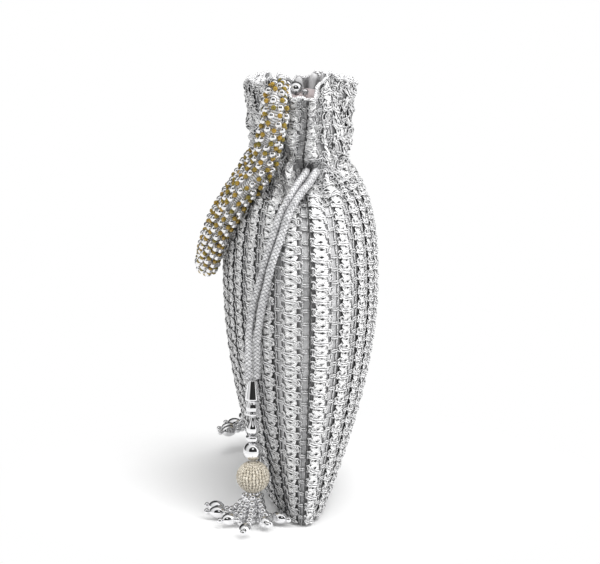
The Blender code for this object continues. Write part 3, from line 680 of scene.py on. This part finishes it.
rimLift = np.array([
    # share round the bag, millimetres above the plain rim: low at the seams, high in the folds beside the near one
    (0.0, -3.6), (0.020, 1.0), (0.046, 8.4), (0.075, 7.8), (0.13, 4.6), (0.25, 1.2), (0.36, 0.2), (0.43, 0.4),
    (0.50, -3.4), (0.57, 0.4), (0.64, 0.2), (0.75, 1.2), (0.87, 3.6), (0.925, 6.2), (0.948, 2.5), (0.967, -1.5),
    (0.985, -3.2), (1.0, -3.6),
])


def rimRise(s, z):
    # the list above, with ripples from fold to fold; it fades out towards the neck
    ripple = 0.0008 * np.cos(tau * (s - shiftShare(z)) * bag["columns"]) + 0.0006 * np.sin(tau * (47 * s + 0.2))
    rise = np.interp(np.mod(s, 1.0), *rimLift.T) * mm + ripple
    return rise * ease((z - bag["neckLevel"]) / (bag["height"] - bag["neckLevel"]))


lean = {"shift": 0.0050, "reach": 0.110, "frontShare": 0.35, "across": 0.030}


def baseLean(y, z):
    # the lower part leans forward, its back more than its front: a power of the height left below the reach
    below = np.clip(1.0 - z / lean["reach"], 0.0, 1.0) ** 1.5
    return lean["shift"] * below * (lean["frontShare"] + (1.0 - lean["frontShare"]) * ease(0.5 + y / lean["across"]))


def onBag(s, v, w):
    # a point at share s round the bag, v millimetres up the cloth and w metres out from the lace's ground
    s, z, w = np.broadcast_arrays(s, np.interp(v, clothRun, levelRun), w)
    normal = surfaceNormal(s, z)
    out = foldHeight(s, z) + crossHeight(s, z) + puffHeight(s, z) + w
    place = plainPoint(s + gatherDrift(s, z), z) + normal * out[..., None]
    place[..., 1] -= baseLean(place[..., 1], z)
    place[..., 2] = np.maximum(place[..., 2] + rimRise(s, z), 0.0004)
    return place


print("satin panels")

halves = (("back", 0.0), ("front", 0.5))      # each panel, and the share where it starts
cloth = {"ground": -0.0019, "wall": 0.0007, "around": 130, "rows": 84, "floor": 0.0011,
         "floorRows": (0.02, 0.35, 0.68, 0.93), "floorMap": (-17, -1), "floorNarrow": 0.025, "seamGap": 0.0004}


def makeSatin(label, startShare):
    # half of the bag's cloth: a grid round from one side seam to the other and up from the base edge, with a floor
    s = startShare + np.linspace(cloth["seamGap"], 0.5 - cloth["seamGap"], cloth["around"] + 1)[None, :]
    v = np.linspace(0.0, clothTop, cloth["rows"])[:, None]
    grid = onBag(s, v, cloth["ground"])
    inward = np.array(cloth["floorRows"])[:, None]
    base = np.repeat(grid[:1], len(inward), axis=0)
    base[..., 1] *= inward
    base[..., 0] *= 1.0 - cloth["floorNarrow"] * (1.0 - inward)
    base[..., 2] = cloth["floor"]
    grid = np.concatenate([base, grid])
    rows, cols = grid.shape[:2]
    along = np.concatenate([np.linspace(*cloth["floorMap"], len(inward)), v[:, 0]])
    maps = gridMap(rows, cols, False, along, columnPitch * bag["columns"] / 2.0)
    level = np.interp(maps[:, 1], clothRun, levelRun)
    maps[:, 0] -= shiftShare(level) * columnPitch * bag["columns"]      # each column's own middle stays put
    parts = grid.reshape(-1, 3), gridFaces(rows, cols, False), None, maps
    addWall(addPiece(label + "_satin", parts, satinGrey, label + "_panel"), cloth["wall"])


for label, startShare in halves:
    makeSatin(label, startShare)

print("braid lace")

# the lace is drawn flat, in millimetres, and then laid on the bag
lace = {
    "period": 6.9,            # along the cloth for one chevron
    "pitch": 17.2,            # between braids where the cloth is flat
    "edge": 6.55,             # from a braid's middle to its edge threads
    "foot": 1.2,              # where the lace starts above the base edge
    "overlap": 0.4,           # how far it stands above the satin's rim
}
laceLow, laceHigh = lace["foot"], clothTop + lace["overlap"]
lacePeriods = (laceHigh - laceLow) / lace["period"]


def columnShares(label):
    # where the middle of each braid lies that is on the given panel
    middle = (np.arange(bag["columns"]) + 0.5) / bag["columns"]
    half = bag["columns"] // 2
    return middle[:half] if label == "back" else middle[half:]


def squeezeAt(edge):
    # how much narrower the columns are where the bag is drawn in, from the way round it in millimetres
    return np.minimum(1.0, edge / bag["columns"] / lace["pitch"])


def flatTube(u, v, w, look, middle):
    # a band or thread along each column's path, laid on the bag: u millimetres across from its middle, v up the cloth,
    # w out; section is its half width and half thickness
    (halfAcross, halfOut), around = look["section"], look["around"]
    path = np.stack(np.broadcast_arrays(u, v, w), -1)
    tangent = unitRows(np.gradient(path, axis=-2))
    side = unitRows(np.cross(tangent, np.array([0.0, 0.0, 1.0])))
    out = np.cross(side, tangent)
    turn = tau * (np.arange(around) + 0.5) / around
    flat = (path[..., None, :] + side[..., None, :] * (halfAcross * np.cos(turn))[:, None]
            + out[..., None, :] * (halfOut * np.sin(turn))[:, None])
    z = np.interp(flat[..., 1], clothRun, levelRun)
    edge = edgeAt(z) / mm
    share = middle[:, None, None] + (flat[..., 0] * squeezeAt(edge)) / edge + shiftShare(z)
    verts = onBag(share, flat[..., 1], flat[..., 2] * mm).reshape(-1, 3)
    count, steps = path.shape[:2]
    maps = gridMap(steps, around, True, np.linspace(0, 1, steps) * (v.max() - v.min()) * 1.5, 1.0)
    step = (np.arange(count) * steps * around)[:, None, None]
    base = (steps - 1) * around
    caps = np.array([c for k in range(1, around - 1) for c in ((0, k + 1, k), (base, base + k, base + k + 1))])
    quads = gridFaces(steps, around, True)
    return verts, (quads[None] + step).reshape(-1, 4), (caps[None] + step).reshape(-1, 3), np.tile(maps, (count, 1))


def columnPhase(middle, t):
    # slow wander of each braid along its length, in parts of a period: two sines, started by the column
    seed = middle[:, None] * 97.0
    return 0.10 * np.sin(0.37 * t + seed) + 0.06 * np.sin(1.13 * t + 2.3 * seed)


def sizeWander(middle, t):
    seed = middle[:, None] * 61.0
    return 1.0 + 0.05 * np.sin(0.9 * t + seed) + 0.05 * np.sin(2.1 * t + 1.7 * seed)


def zigzag(label, look):
    # each column's middle, the run in periods, the zigzag's turn in radians, and the way up the cloth
    middle = columnShares(label)
    t = np.linspace(0, lacePeriods, int(lacePeriods * look["perPeriod"]) + 1)[None, :] * np.ones((len(middle), 1))
    return middle, t, tau * (t + columnPhase(middle, t)), laceLow + t * lace["period"]


def onceAPeriod(label):
    # each column's middle, repeated for each of its periods, and the number of the period
    middle, rows = columnShares(label), int(lacePeriods)
    return np.repeat(middle, rows), np.tile(np.arange(rows), len(middle))


def lacePiece(label, kind, parts, material=laceThread):
    return addPiece(f"{label}_{kind}", joinParts(parts), material, label + "_panel")


ribbon = {"perPeriod": 7, "around": 6, "section": (1.36, 0.16), "reach": 3.10, "level": -0.72, "weave": 0.36}


def makeRibbon(label):
    # a plait of two flat ribbons: across as plus and minus the cosine of the run, each on top as it climbs one way
    middle, t, turn, v = zigzag(label, ribbon)
    u = ribbon["reach"] * sizeWander(middle, t) * np.cos(turn)
    w = ribbon["weave"] * np.sin(2 * turn)
    parts = [flatTube(hand * u, v, ribbon["level"] + hand * w, ribbon, middle) for hand in (-1.0, 1.0)]
    lacePiece(label, "braid_ribbon", parts, laceRibbon)


cords = {"perPeriod": 9, "around": 4, "section": (0.50, 0.50), "reach": 5.00, "swing": 0.60, "gap": 1.12, "weave": 0.60}


def makeCords(label):
    # parallel cords: across as cosine with swollen turns at both edges; on top while they climb to the left
    middle, t, turn, v = zigzag(label, cords)
    reach = cords["reach"] * sizeWander(middle, t)
    du = -np.sin(turn) * reach * tau
    dv = lace["period"] + 2 * tau * cords["swing"] * np.cos(2 * turn)
    v = v + cords["swing"] * np.sin(2 * turn)
    w = cords["weave"] * (np.sin(turn) - 1.0)
    parts = []
    for offset in (-0.5, 0.5):
        shift = offset * cords["gap"] / np.hypot(du, dv)
        parts.append(flatTube(reach * np.cos(turn) + dv * shift, v - du * shift, w - 0.08 * offset * offset,
                              cords, middle))
    lacePiece(label, "braid_cords", parts)


edges = {"perPeriod": 4, "around": 4, "section": (0.40, 0.40), "scallop": 0.30, "level": -1.35, "weave": 0.12}


def makeEdges(label):
    # a thread down each edge of each braid, scalloped once a period
    middle, t, turn, v = zigzag(label, edges)
    u = lace["edge"] + edges["scallop"] * np.cos(turn)
    w = edges["level"] + edges["weave"] * np.sin(turn)
    lacePiece(label, "braid_edges", [flatTube(hand * u, v, w, edges, middle) for hand in (-1.0, 1.0)])


hook = {"points": 9, "around": 4, "section": (0.46, 0.46), "across": 5.0, "radius": 1.90, "shrink": 0.25,
        "taller": 1.15, "start": 0.6, "sweep": 4.9, "weave": 0.30}


def makeHooks(label):
    # open rings of thread at both edges of each braid, once a period, where the cords swing to the other edge
    grid, index = onceAPeriod(label)
    share = np.linspace(0, 1, hook["points"])[None, :]
    turn = hook["start"] + hook["sweep"] * share
    reach = hook["radius"] * (1.0 - hook["shrink"] * share)
    u = hook["across"] + reach * np.cos(turn)
    w = hook["weave"] * (np.sin(turn) - 1.0)
    parts = []
    for hand, lead in ((-1.0, 0.25), (1.0, 0.75)):
        phase = (index + lead)[:, None]
        centre = laceLow + (phase - columnPhase(grid, phase) + 0.25) * lace["period"]
        parts.append(flatTube(hand * u, centre + hook["taller"] * reach * np.sin(turn), w, hook, grid))
    lacePiece(label, "braid_hooks", parts)


loose = {"count": 740, "points": 9, "around": 4, "section": (0.42, 0.42), "radius": (1.2, 2.8), "shrink": 0.35,
         "sweep": (2.6, 5.2), "level": (-0.9, 0.1), "weave": 0.3,
         "run": (float(np.interp(0.168, levelRun, clothRun)), clothTop)}
looseDraw = np.random.default_rng(33)


def makeLoose(label, startShare):
    # curls of thread that lie every way over the gathers, so that the columns are lost there
    def column(low, high):
        return looseDraw.uniform(low, high, loose["count"])[:, None]

    grid = (startShare + column(0.004, 0.496))[:, 0]
    share = np.linspace(0, 1, loose["points"])[None, :]
    centre = column(*loose["run"])
    turn = column(0, tau) + share * column(*loose["sweep"])
    reach = column(*loose["radius"]) * (1.0 - loose["shrink"] * share)
    v = np.minimum(centre + reach * np.sin(turn), laceHigh)
    w = column(*loose["level"]) + loose["weave"] * np.sin(2 * turn)
    lacePiece(label, "loose_curls", [flatTube(reach * np.cos(turn), v, w, loose, grid)])


bars = {"points": 4, "around": 4, "section": (0.46, 0.46), "gap": 0.62, "tuck": 0.5, "level": -0.95, "bow": 0.35}


def makeBars(label):
    # a pair of threads across each ladder, once a period, from one braid's edge to the next; they bow apart as a sine
    grid, index = onceAPeriod(label)
    heights = laceLow + (index + 0.5) * lace["period"]
    level = (heights + 0.5 * np.sin(heights * 1.7 + grid * 83.0))[:, None]
    start = lace["edge"] - bars["tuck"]
    u = np.linspace(start, lace["pitch"] - start, bars["points"])[None, :]
    bend = np.sin(np.pi * (u - u.min()) / (u.max() - u.min()))
    apart = bars["gap"] * (0.45 + 0.55 * bend)
    w = bars["level"] + bars["bow"] * bend
    lacePiece(label, "ladder_bars", [flatTube(u, level + hand * apart, w, bars, grid) for hand in (-1.0, 1.0)])


for label, startShare in halves:
    makeRibbon(label)
    makeCords(label)
    makeEdges(label)
    makeHooks(label)
    makeLoose(label, startShare)
    makeBars(label)

hem = {"radius": 1.00, "knob": 0.34, "knobs": 118, "around": 8, "steps": 470, "out": -0.0010, "above": 0.5,
       "seamGap": 0.0006}


def makeHem(label, startShare):
    # the rolled edge of the lace along the mouth: a cord whose radius swells over each knob, as sine squared
    s = startShare + np.linspace(hem["seamGap"], 0.5 - hem["seamGap"], hem["steps"])
    path = onBag(s, clothTop + hem["above"] + 0.35 * np.sin(tau * s * 61), hem["out"] + 0.0002 * np.sin(tau * s * 87))
    turn = tau * np.arange(hem["around"]) / hem["around"]
    swell = np.sin(np.pi * (s * hem["knobs"])[:, None] + 0.5 * turn) ** 2
    parts = tubeAlong(path, (hem["radius"] - hem["knob"] * (1.0 - swell)) * mm, hem["around"])
    addPiece(label + "_mouth_hem", parts, hemThread, label + "_panel")


for label, startShare in halves:
    makeHem(label, startShare)

seam = {"section": (0.50, 0.50), "around": 6, "out": 0.25, "points": 180, "wobble": 0.12}


def makeSeam(name, share, aside, node):
    # a near-black thread down a side of the bag: painted shade for the dark gap where the two panels are sewn
    v = np.linspace(1.0, clothTop, seam["points"])[None, :]
    squeeze = squeezeAt(edgeAt(np.interp(v, clothRun, levelRun)) / mm)
    # flatTube adds the columns' shift, so it's taken off here
    u = aside - bag["columnShift"] / mm + seam["wobble"] * np.sin(v * 1.9)
    addPiece(name, flatTube(u / squeeze, v, seam["out"], seam, np.array([share])), seamShadeThread, node)


makeSeam("near_seam_shade_line", 0.0, -1.05, "back_panel")
makeSeam("far_seam_shade_line", 0.5, 0.0, "front_panel")

print("lining")

lining = {"foot": 0.0050, "top": 0.2110, "inset": 0.0052, "channel": 0.0098, "wall": 0.0006, "around": 160, "rows": 40,
          "mapSpan": 430.0}


def makeLining():
    # the satin inner bag: the bag's own section moved in, more so at the cord channel, with small pleats at the top
    z = np.linspace(lining["foot"], lining["top"], lining["rows"])[:, None]
    s, z = np.broadcast_arrays((np.arange(lining["around"]) / lining["around"])[None, :], z)
    near = np.exp(-((z - bag["neckLevel"]) / 0.010) ** 2)
    inset = lining["inset"] + (lining["channel"] - lining["inset"]) * near
    lift = ease((z - bag["neckLevel"]) / (lining["top"] - bag["neckLevel"]))
    pleat = 0.0009 * gatherShare(z) * np.sin(tau * s * 21) + 0.0005 * gatherShare(z) * np.sin(tau * s * 34 + 1.0)
    pleat = pleat + lift * (0.0020 * np.sin(tau * (s * 13 + 0.2) + 60.0 * z) + 0.0009 * np.sin(tau * s * 29))
    grid = plainPoint(s, z) - surfaceNormal(s, z) * (inset - pleat + 0.0012 * lift)[..., None]
    grid[..., 1] -= baseLean(grid[..., 1], z)
    rows, cols = grid.shape[:2]
    half = cols // 2
    k = np.arange(1, half)
    floorFaces = np.stack([k, cols - k, cols - k - 1, k + 1], -1)[:-1]
    ends = np.array([[0, cols - 1, 1], [half - 1, half + 1, half]])
    parts = (grid.reshape(-1, 3), np.concatenate([gridFaces(rows, cols, True), floorFaces]), ends,
             gridMap(rows, cols, True, z[:, 0] / mm, lining["mapSpan"]))
    addWall(addPiece("lining_satin", parts, satinPink, "lining"), lining["wall"])


makeLining()

print("drawstrings")

cordLook = {"diameter": 0.0041, "plait": 0.00042, "around": 24, "step": 0.00060, "lay": 8.0, "strands": 4,
            "innerRadius": 0.0006, "innerStep": 0.0005, "innerDrop": 0.006, "innerTop": 0.0660,
            "innerFoot": 0.0200}
strandRoutes = {
    "a": [(52.0, -0.3, 178.8), (56.5, -0.5, 178.9), (61.2, -1.4, 178.4), (66.8, -5.2, 174.6),
          (74.6, -9.2, 170.0), (80.0, -14.9, 160.9), (82.8, -19.3, 148.4), (81.6, -23.2, 135.2),
          (78.6, -26.6, 121.5), (77.0, -28.7, 113.3), (76.3, -30.0, 105.2), (76.2, -30.9, 97.0),
          (76.5, -31.2, 88.6), (76.5, -31.2, 75.9)],
    "b": [(52.0, 4.7, 178.8), (56.5, 4.6, 178.9), (61.6, 3.3, 178.5), (67.2, 0.4, 174.9),
          (75.9, -4.9, 170.1), (83.6, -10.9, 161.3), (85.8, -15.4, 148.6), (86.3, -19.7, 136.0),
          (84.0, -22.7, 122.7), (82.2, -24.4, 114.7), (80.2, -25.6, 106.5), (78.2, -26.6, 98.0),
          (77.0, -26.9, 89.5), (76.5, -26.9, 75.9)],
}
far = {
    "shift": np.array([-0.0100, 0.0070, 0.0080]),     # the far tassel hangs higher and further round the bag
    "spread": 0.70,      # its fringe is narrower
    "nearExit": 0.17875, "farExit": 0.18425, "riseFrom": 0.170,
    "shiftTop": 0.152, "shiftFoot": 0.098,      # its strands ease into the shift between these levels
}
tasselX, tasselY = 0.0765, -0.02905


def strandPath(strand, side):
    path = smoothPath(np.array(strandRoutes[strand]) * mm, cordLook["step"])
    if side == "far":
        share = np.clip((path[:, 2] - far["riseFrom"]) / (far["nearExit"] - far["riseFrom"]), 0, 1)
        fallen = ease((far["shiftTop"] - path[:, 2]) / (far["shiftTop"] - far["shiftFoot"]))
        path[:, 2] += (far["farExit"] - far["nearExit"]) * share
        path[:, 0] *= -1.0
        path += far["shift"] * fallen[:, None]
    return path


def plaitedRadius(path, around):
    # round plait: two families of strands wind opposite ways, and each in turn lies on top, as the size of a sine
    run = runAlong(path)[:, None] / mm / cordLook["lay"]
    turn = (np.arange(around) / around)[None, :]
    left, right = (np.sin(np.pi * cordLook["strands"] * (turn + way * run)) for way in (1.0, -1.0))
    relief = np.where(left * right > 0, np.abs(left), np.abs(right))
    return cordLook["diameter"] / 2.0 - cordLook["plait"] * (1.0 - relief)


def makeStrand(side, strand):
    # the first strand of each pair goes on through the tassel as its thin inner cord
    path = strandPath(strand, side)
    around = cordLook["around"]
    radius = plaitedRadius(path, around)
    if strand == "a":
        low = np.array([[tasselX, tasselY, cordLook["innerTop"]], [tasselX, tasselY, cordLook["innerFoot"]]])
        if side == "far":
            low = low * [-1.0, 1.0, 1.0] + far["shift"]
        below = path[-1] - [0.0, 0.0, cordLook["innerDrop"]]
        inner = smoothPath(np.array([path[-1], below, *low]), cordLook["innerStep"])[1:]
        path = np.concatenate([path, inner])
        radius = np.concatenate([radius, np.full((len(inner), around), cordLook["innerRadius"])])
    node = f"drawstring_{side}_{strand}"
    return addPiece(node + "_plait", tubeAlong(path, radius, around), cordSilver, node), path


strands = {(side, strand): makeStrand(side, strand) for side in ("near", "far") for strand in "ab"}
for side in ("near", "far"):
    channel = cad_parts[f"drawstring_{side}_channel"]
    channel.data.materials.clear()
    channel.data.materials.append(cordSilver)

print("tassels")

turnedPieces = [
    # kind, length, radius, steps, around, material, slot, and the profile as shares of the radius and the length
    ("cord_cap", 0.0104, 0.0040, 40, 40, polishedSilver, "polished_metal",
     [(0, 0), (0.54, 0), (0.60, -0.02), (0.63, -0.08), (0.81, -0.50), (0.98, -0.90), (1.0, -0.95), (0.96, -0.99),
      (0.8, -1), (0, -1)]),
    ("bell_cap", 0.0078, 0.0041, 44, 48, beadSilver, "silver_beads",
     [(0, 0), (0.5, 0), (0.72, -0.08), (0.9, -0.28), (0.97, -0.5), (0.86, -0.66), (0.98, -0.84), (0.93, -0.95),
      (0.7, -1), (0, -1)]),
    ("drop_bead", 0.0099, 0.0034, 40, 36, beadSilver, "silver_beads",
     [(0, 0), (0.24, -0.01), (0.36, -0.10), (0.58, -0.30), (0.90, -0.52), (1.0, -0.70), (0.85, -0.88), (0.45, -0.98),
      (0, -1)]),
    ("spacer_ring", 0.0030, 0.0038, 28, 36, polishedSilver, "polished_metal",
     [(0, 0), (0.70, 0), (0.94, -0.14), (1, -0.5), (0.94, -0.86), (0.70, -1), (0, -1)]),
]
tassel = {"top": 0.0750, "gap": 0.0003, "beadRadius": 0.0050, "bellLobes": 8, "lobeDepth": 0.10}


def addTasselPiece(side, kind, parts, material):
    # the far tassel is the near one mirrored in X and moved, so its faces are turned round to point out again
    name = f"{side}_tassel_{kind}"
    if side == "far":
        verts, quads, tris, maps = parts
        parts = verts * np.array([-1.0, 1.0, 1.0]) + far["shift"], quads[:, ::-1], tris[:, ::-1], maps
    return addPiece(name + "_fine", parts, material, name)


def lobed(verts):
    # scallops round the tassel's upright axis, as a cosine
    centre = np.array([tasselX, tasselY])
    away = verts[:, :2] - centre
    lobe = 0.5 + 0.5 * np.cos(tassel["bellLobes"] * np.arctan2(away[:, 1], away[:, 0]))
    verts[:, :2] = centre + away * (1.0 - tassel["lobeDepth"] * lobe)[:, None]
    return verts


def makeTassel(side):
    made = []
    top = tassel["top"]
    for kind, length, radius, steps, around, material, slotName, profile in turnedPieces:
        sized = np.array(profile) * [radius, length]
        verts, *faces = turnedShape(sized, steps, (tasselX, tasselY, top), around)
        verts = lobed(verts) if kind == "bell_cap" else verts
        made.append(addTasselPiece(side, kind, (verts, *faces), material))
        top -= length + tassel["gap"]
    r = tassel["beadRadius"]
    bead = strewBeads([(tasselX, tasselY, top - r)], r, 40, 28)
    made.append(addTasselPiece(side, "round_bead", bead, beadSilver))
    top -= 2 * r + tassel["gap"]
    pole = math.sqrt(ball["radius"] ** 2 - ball["pole"] ** 2)
    made.append(makeBall(side, np.array([tasselX, tasselY, top - pole])))
    top -= 2 * pole + tassel["gap"]
    for number, (x, y, angle) in enumerate(fringe["ends"], start=1):
        made += makeFringe(side, number, fringePath(x * mm, y * mm, math.radians(angle), top, side))
    return made


ball = {"radius": 0.0087, "pole": 0.0026, "rows": 28, "bands": 12, "sunk": 0.00075, "bead": 0.00082,
        "heartSunk": 0.0011, "collar": 0.0022, "collarSunk": 0.0012,
        "firstPolar": 20.0, "polarSpan": 140.0}


def makeBall(side, centre):
    # upright rows of little cut beads on a ball, each row a little out of step with the last
    k = np.arange(ball["rows"])[:, None]
    j = np.arange(ball["bands"])[None, :]
    polar = np.radians(ball["firstPolar"] + ball["polarSpan"] * (j + 0.5 + 0.18 * np.sin(k * 2.4)) / ball["bands"])
    turn = tau * (k + 0.12 * np.sin(j * 1.9 + k)) / ball["rows"]
    out, down = ballPoints(polar, turn), ballPoints(polar + np.pi / 2, turn)
    size = (ball["bead"] * (0.55 + 0.45 * np.sin(polar))).reshape(-1)
    beads = strewBeads(centre + out * (ball["radius"] - ball["sunk"]), size, 6, 5, axes=down, stretch=1.25)
    heart = strewBeads([centre], ball["radius"] - ball["heartSunk"], 24, 16)
    collars = [strewBeads([centre + [0, 0, hand * (ball["radius"] - ball["collarSunk"])]], ball["collar"], 20, 10,
                          axes=[(0, 0, 1)], stretch=0.4) for hand in (-1, 1)]
    return addTasselPiece(side, "beaded_ball", joinParts([heart, beads] + collars), beadIvory)


fringe = {
    "radius": 0.0017, "pitch": 0.0033, "around": 10, "bands": 8,
    "thread": 0.00035, "threadStep": 0.0006, "start": 0.0040, "level": 0.0045,
    "ovalRadius": 0.0033, "ovalLength": 0.0092, "endBead": 0.0016,
    # where each string ends, in millimetres, and the direction in degrees in which it leaves the ball
    "ends": [(63.5, -43.5, 200.0), (72.5, -42.5, 255.0), (82.3, -37.4, 310.0), (100.0, -33.4, 0.0),
             (86.3, -24.6, 52.0), (80.5, -19.5, 106.0)],
    "loops": [(0.60, 0.66), (-0.55, 0.45)],      # turn in radians and share of the length
    "loopBelly": 0.45, "loopLow": 0.0030, "loopStep": 0.0012, "loopFoot": 0.0019,
}


def fringePath(x, y, angle, top, side):
    # from the ball's foot out and down, level for the last stretch
    spread = 1.0 if side == "near" else far["spread"]
    height = fringe["ovalRadius"] + tassel["gap"] + 0.05 * fringe["ovalLength"]
    start = np.array([tasselX + fringe["start"] * math.cos(angle), tasselY + fringe["start"] * math.sin(angle), top])
    finish = np.array([tasselX + (x - tasselX) * spread, tasselY + (y - tasselY) * spread, height])
    approach = finish - levelUnit(finish - start) * fringe["level"]
    belly = start + (approach - start) * [0.45, 0.45, 0.62]
    return np.array([start, belly, approach, finish])


def levelUnit(vector):
    flat = vector * [1.0, 1.0, 0.0]
    return flat / np.linalg.norm(flat)


def threaded(route, places, size, axes):
    # beads strung on a thin thread
    beads = strewBeads(places, size, fringe["around"], fringe["bands"], axes=axes)
    return [beads, tubeAlong(smoothPath(route, fringe["threadStep"]), fringe["thread"], 6)]


def makeFringe(side, number, route):
    # small round beads threaded close, then an oval bead and a tiny one
    path = smoothPath(route, fringe["pitch"])
    steps = np.diff(path, axis=0)
    strings = threaded(route, path[:-1] + 0.5 * steps, fringe["radius"] * 0.98, steps)
    # shorter loops of the same beads on both sides of the string, bunched up below the ball
    heart = np.array([tasselX, tasselY, 0.0])
    for swing, reach in fringe["loops"]:
        turn = np.array([[math.cos(swing), math.sin(swing)], [-math.sin(swing), math.cos(swing)]])
        loop = heart + (route - heart) * [reach, reach, 1.0]
        loop[:, :2] = heart[:2] + (loop[:, :2] - heart[:2]) @ turn
        loop[1:3, :2] += (loop[1:3, :2] - heart[:2]) * fringe["loopBelly"]
        loop[-2:, 2] = fringe["loopLow"] + fringe["loopStep"] * (number % 3), fringe["loopFoot"]
        short = smoothPath(loop, fringe["pitch"])
        strings += threaded(loop, short, fringe["radius"], np.gradient(short, axis=0))
    string = addTasselPiece(side, f"string_{number}", joinParts(strings), beadSilver)
    along = levelUnit(path[-1] - path[-2])
    half = fringe["ovalLength"] / 2.0
    middle = path[-1] + along * (half + tassel["gap"])
    oval = strewBeads([middle], fringe["ovalRadius"], 24, 16, axes=[along], stretch=half / fringe["ovalRadius"])
    last = strewBeads([middle + along * (half + fringe["endBead"] * 0.8)], fringe["endBead"], 14, 10)
    drop = addTasselPiece(side, f"drop_{number}", joinParts([oval, last]), beadSilver)
    return [string, drop]


tasselPieces = {side: makeTassel(side) for side in ("near", "far")}

print("handle")

handle = {
    "radius": 0.0070, "strands": 8, "row": 0.00640, "twist": 5.5, "heart": 0.0042, "endGap": 0.0012,
    "firstRow": 0.3, "wander": 0.00048, "sink": 0.0006, "turnWander": 0.12,
    # colour, start of its rows, bead radius, how far it is sunk, faces around and bands
    "beads": [("silver", 0.0, 0.00210, 0.0, 10, 7), ("amber", 0.5, 0.00142, 0.0002, 8, 6)],
    # how thick the bunch of strands is, against the share of the way from the near end
    "thickness": [(0.0, 0.0044), (0.03, 0.0062), (0.09, 0.0082), (0.26, 0.0082), (0.40, 0.0074), (0.60, 0.0070),
                  (0.88, 0.0056), (1.0, 0.0042)],
    "route": [(49.5, -9.0, 220.6), (52.4, -13.0, 222.0), (60.8, -16.6, 218.2), (62.8, -16.6, 210.5),
              (60.5, -18.0, 201.5), (56.5, -19.8, 192.5), (53.6, -21.6, 183.5), (52.2, -26.6, 175.0),
              (49.0, -33.0, 168.0), (42.0, -38.9, 157.0), (33.5, -44.6, 146.0), (22.5, -47.8, 135.5),
              (11.5, -49.5, 126.5), (0.0, -50.0, 122.6), (-15.0, -49.4, 125.5), (-32.0, -46.4, 134.0),
              (-49.0, -40.5, 145.0), (-62.0, -32.5, 156.0), (-64.5, -25.5, 167.5), (-61.0, -19.6, 179.5),
              (-59.8, -18.4, 190.0), (-60.4, -17.6, 198.5), (-60.6, -16.6, 203.0)],
}


def makeHandle():
    # strands of beads laid round a thread core: silver and amber in turn along each strand
    path = smoothPath(np.array(handle["route"]) * mm, 0.0005)
    tangent, sideAxis, other = pathAxes(path)
    run = runAlong(path)
    length = float(run[-1])
    thickness = np.array(handle["thickness"]).T
    rows = int(round(length / handle["row"]))
    step = length / rows
    strand = np.arange(handle["strands"])[None, :]
    draw = np.random.default_rng(21)
    beads = {}
    for colour, offset, size, sunk, around, bands in handle["beads"]:
        wander = draw.uniform(-handle["wander"], handle["wander"], (rows, handle["strands"]))
        # every other strand is half a row on
        d = (np.arange(rows)[:, None] + handle["firstRow"] + offset + 0.5 * (strand % 2)) * step + wander
        d = np.clip(d, handle["endGap"], length - handle["endGap"])
        reach = np.interp(d / length, *thickness) - size - draw.uniform(0.0, handle["sink"], d.shape) - sunk
        turn = (tau * (strand / handle["strands"] + handle["twist"] * d)
                + draw.uniform(-handle["turnWander"], handle["turnWander"], d.shape))
        centre, a, b, direction = (sampleRows(d, run, known) for known in (path, sideAxis, other, tangent))
        place = centre + (a * np.cos(turn)[..., None] + b * np.sin(turn)[..., None]) * reach[..., None]
        beads[colour] = strewBeads(place.reshape(-1, 3), size, around, bands, axes=direction.reshape(-1, 3))
    threads = tubeAlong(path, np.interp(run / length, *thickness) - handle["heart"], 16)
    rope = addPiece("handle_silver_beads", joinParts([threads, beads["silver"]]), hemThread, "handle_rope")
    rope.data.materials.append(beadSilver)
    quadCount = len(threads[1]) + len(beads["silver"][1])
    kind = np.ones(len(rope.data.polygons), dtype=np.int32)
    kind[:len(threads[1])] = 0
    kind[quadCount:quadCount + len(threads[2])] = 0
    rope.data.polygons.foreach_set("material_index", kind)
    amber = addPiece("handle_amber_beads", joinParts([beads["amber"]]), beadAmber, "handle_rope")
    return rope, amber, path


rope, amberBeads, handlePath = makeHandle()

# the near beads lie up on the rim, and the far end is tucked down behind the mouth
rootShift = {"near": np.array([0.0030, 0.0005, 0.0024]), "far": np.array([0.0, 0.0010, -0.0058])}
for side in ("near", "far"):
    for kind, around, bands in (("root_bead", 36, 24), ("small_bead", 24, 16)):
        node = f"handle_{side}_{kind}"
        low, high = (np.array(corner) + rootShift[side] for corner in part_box(node))
        parts = strewBeads([(low + high) / 2], (high - low).max() / 2, around, bands)
        addPiece(node + "_fine", parts, beadSilver, node)
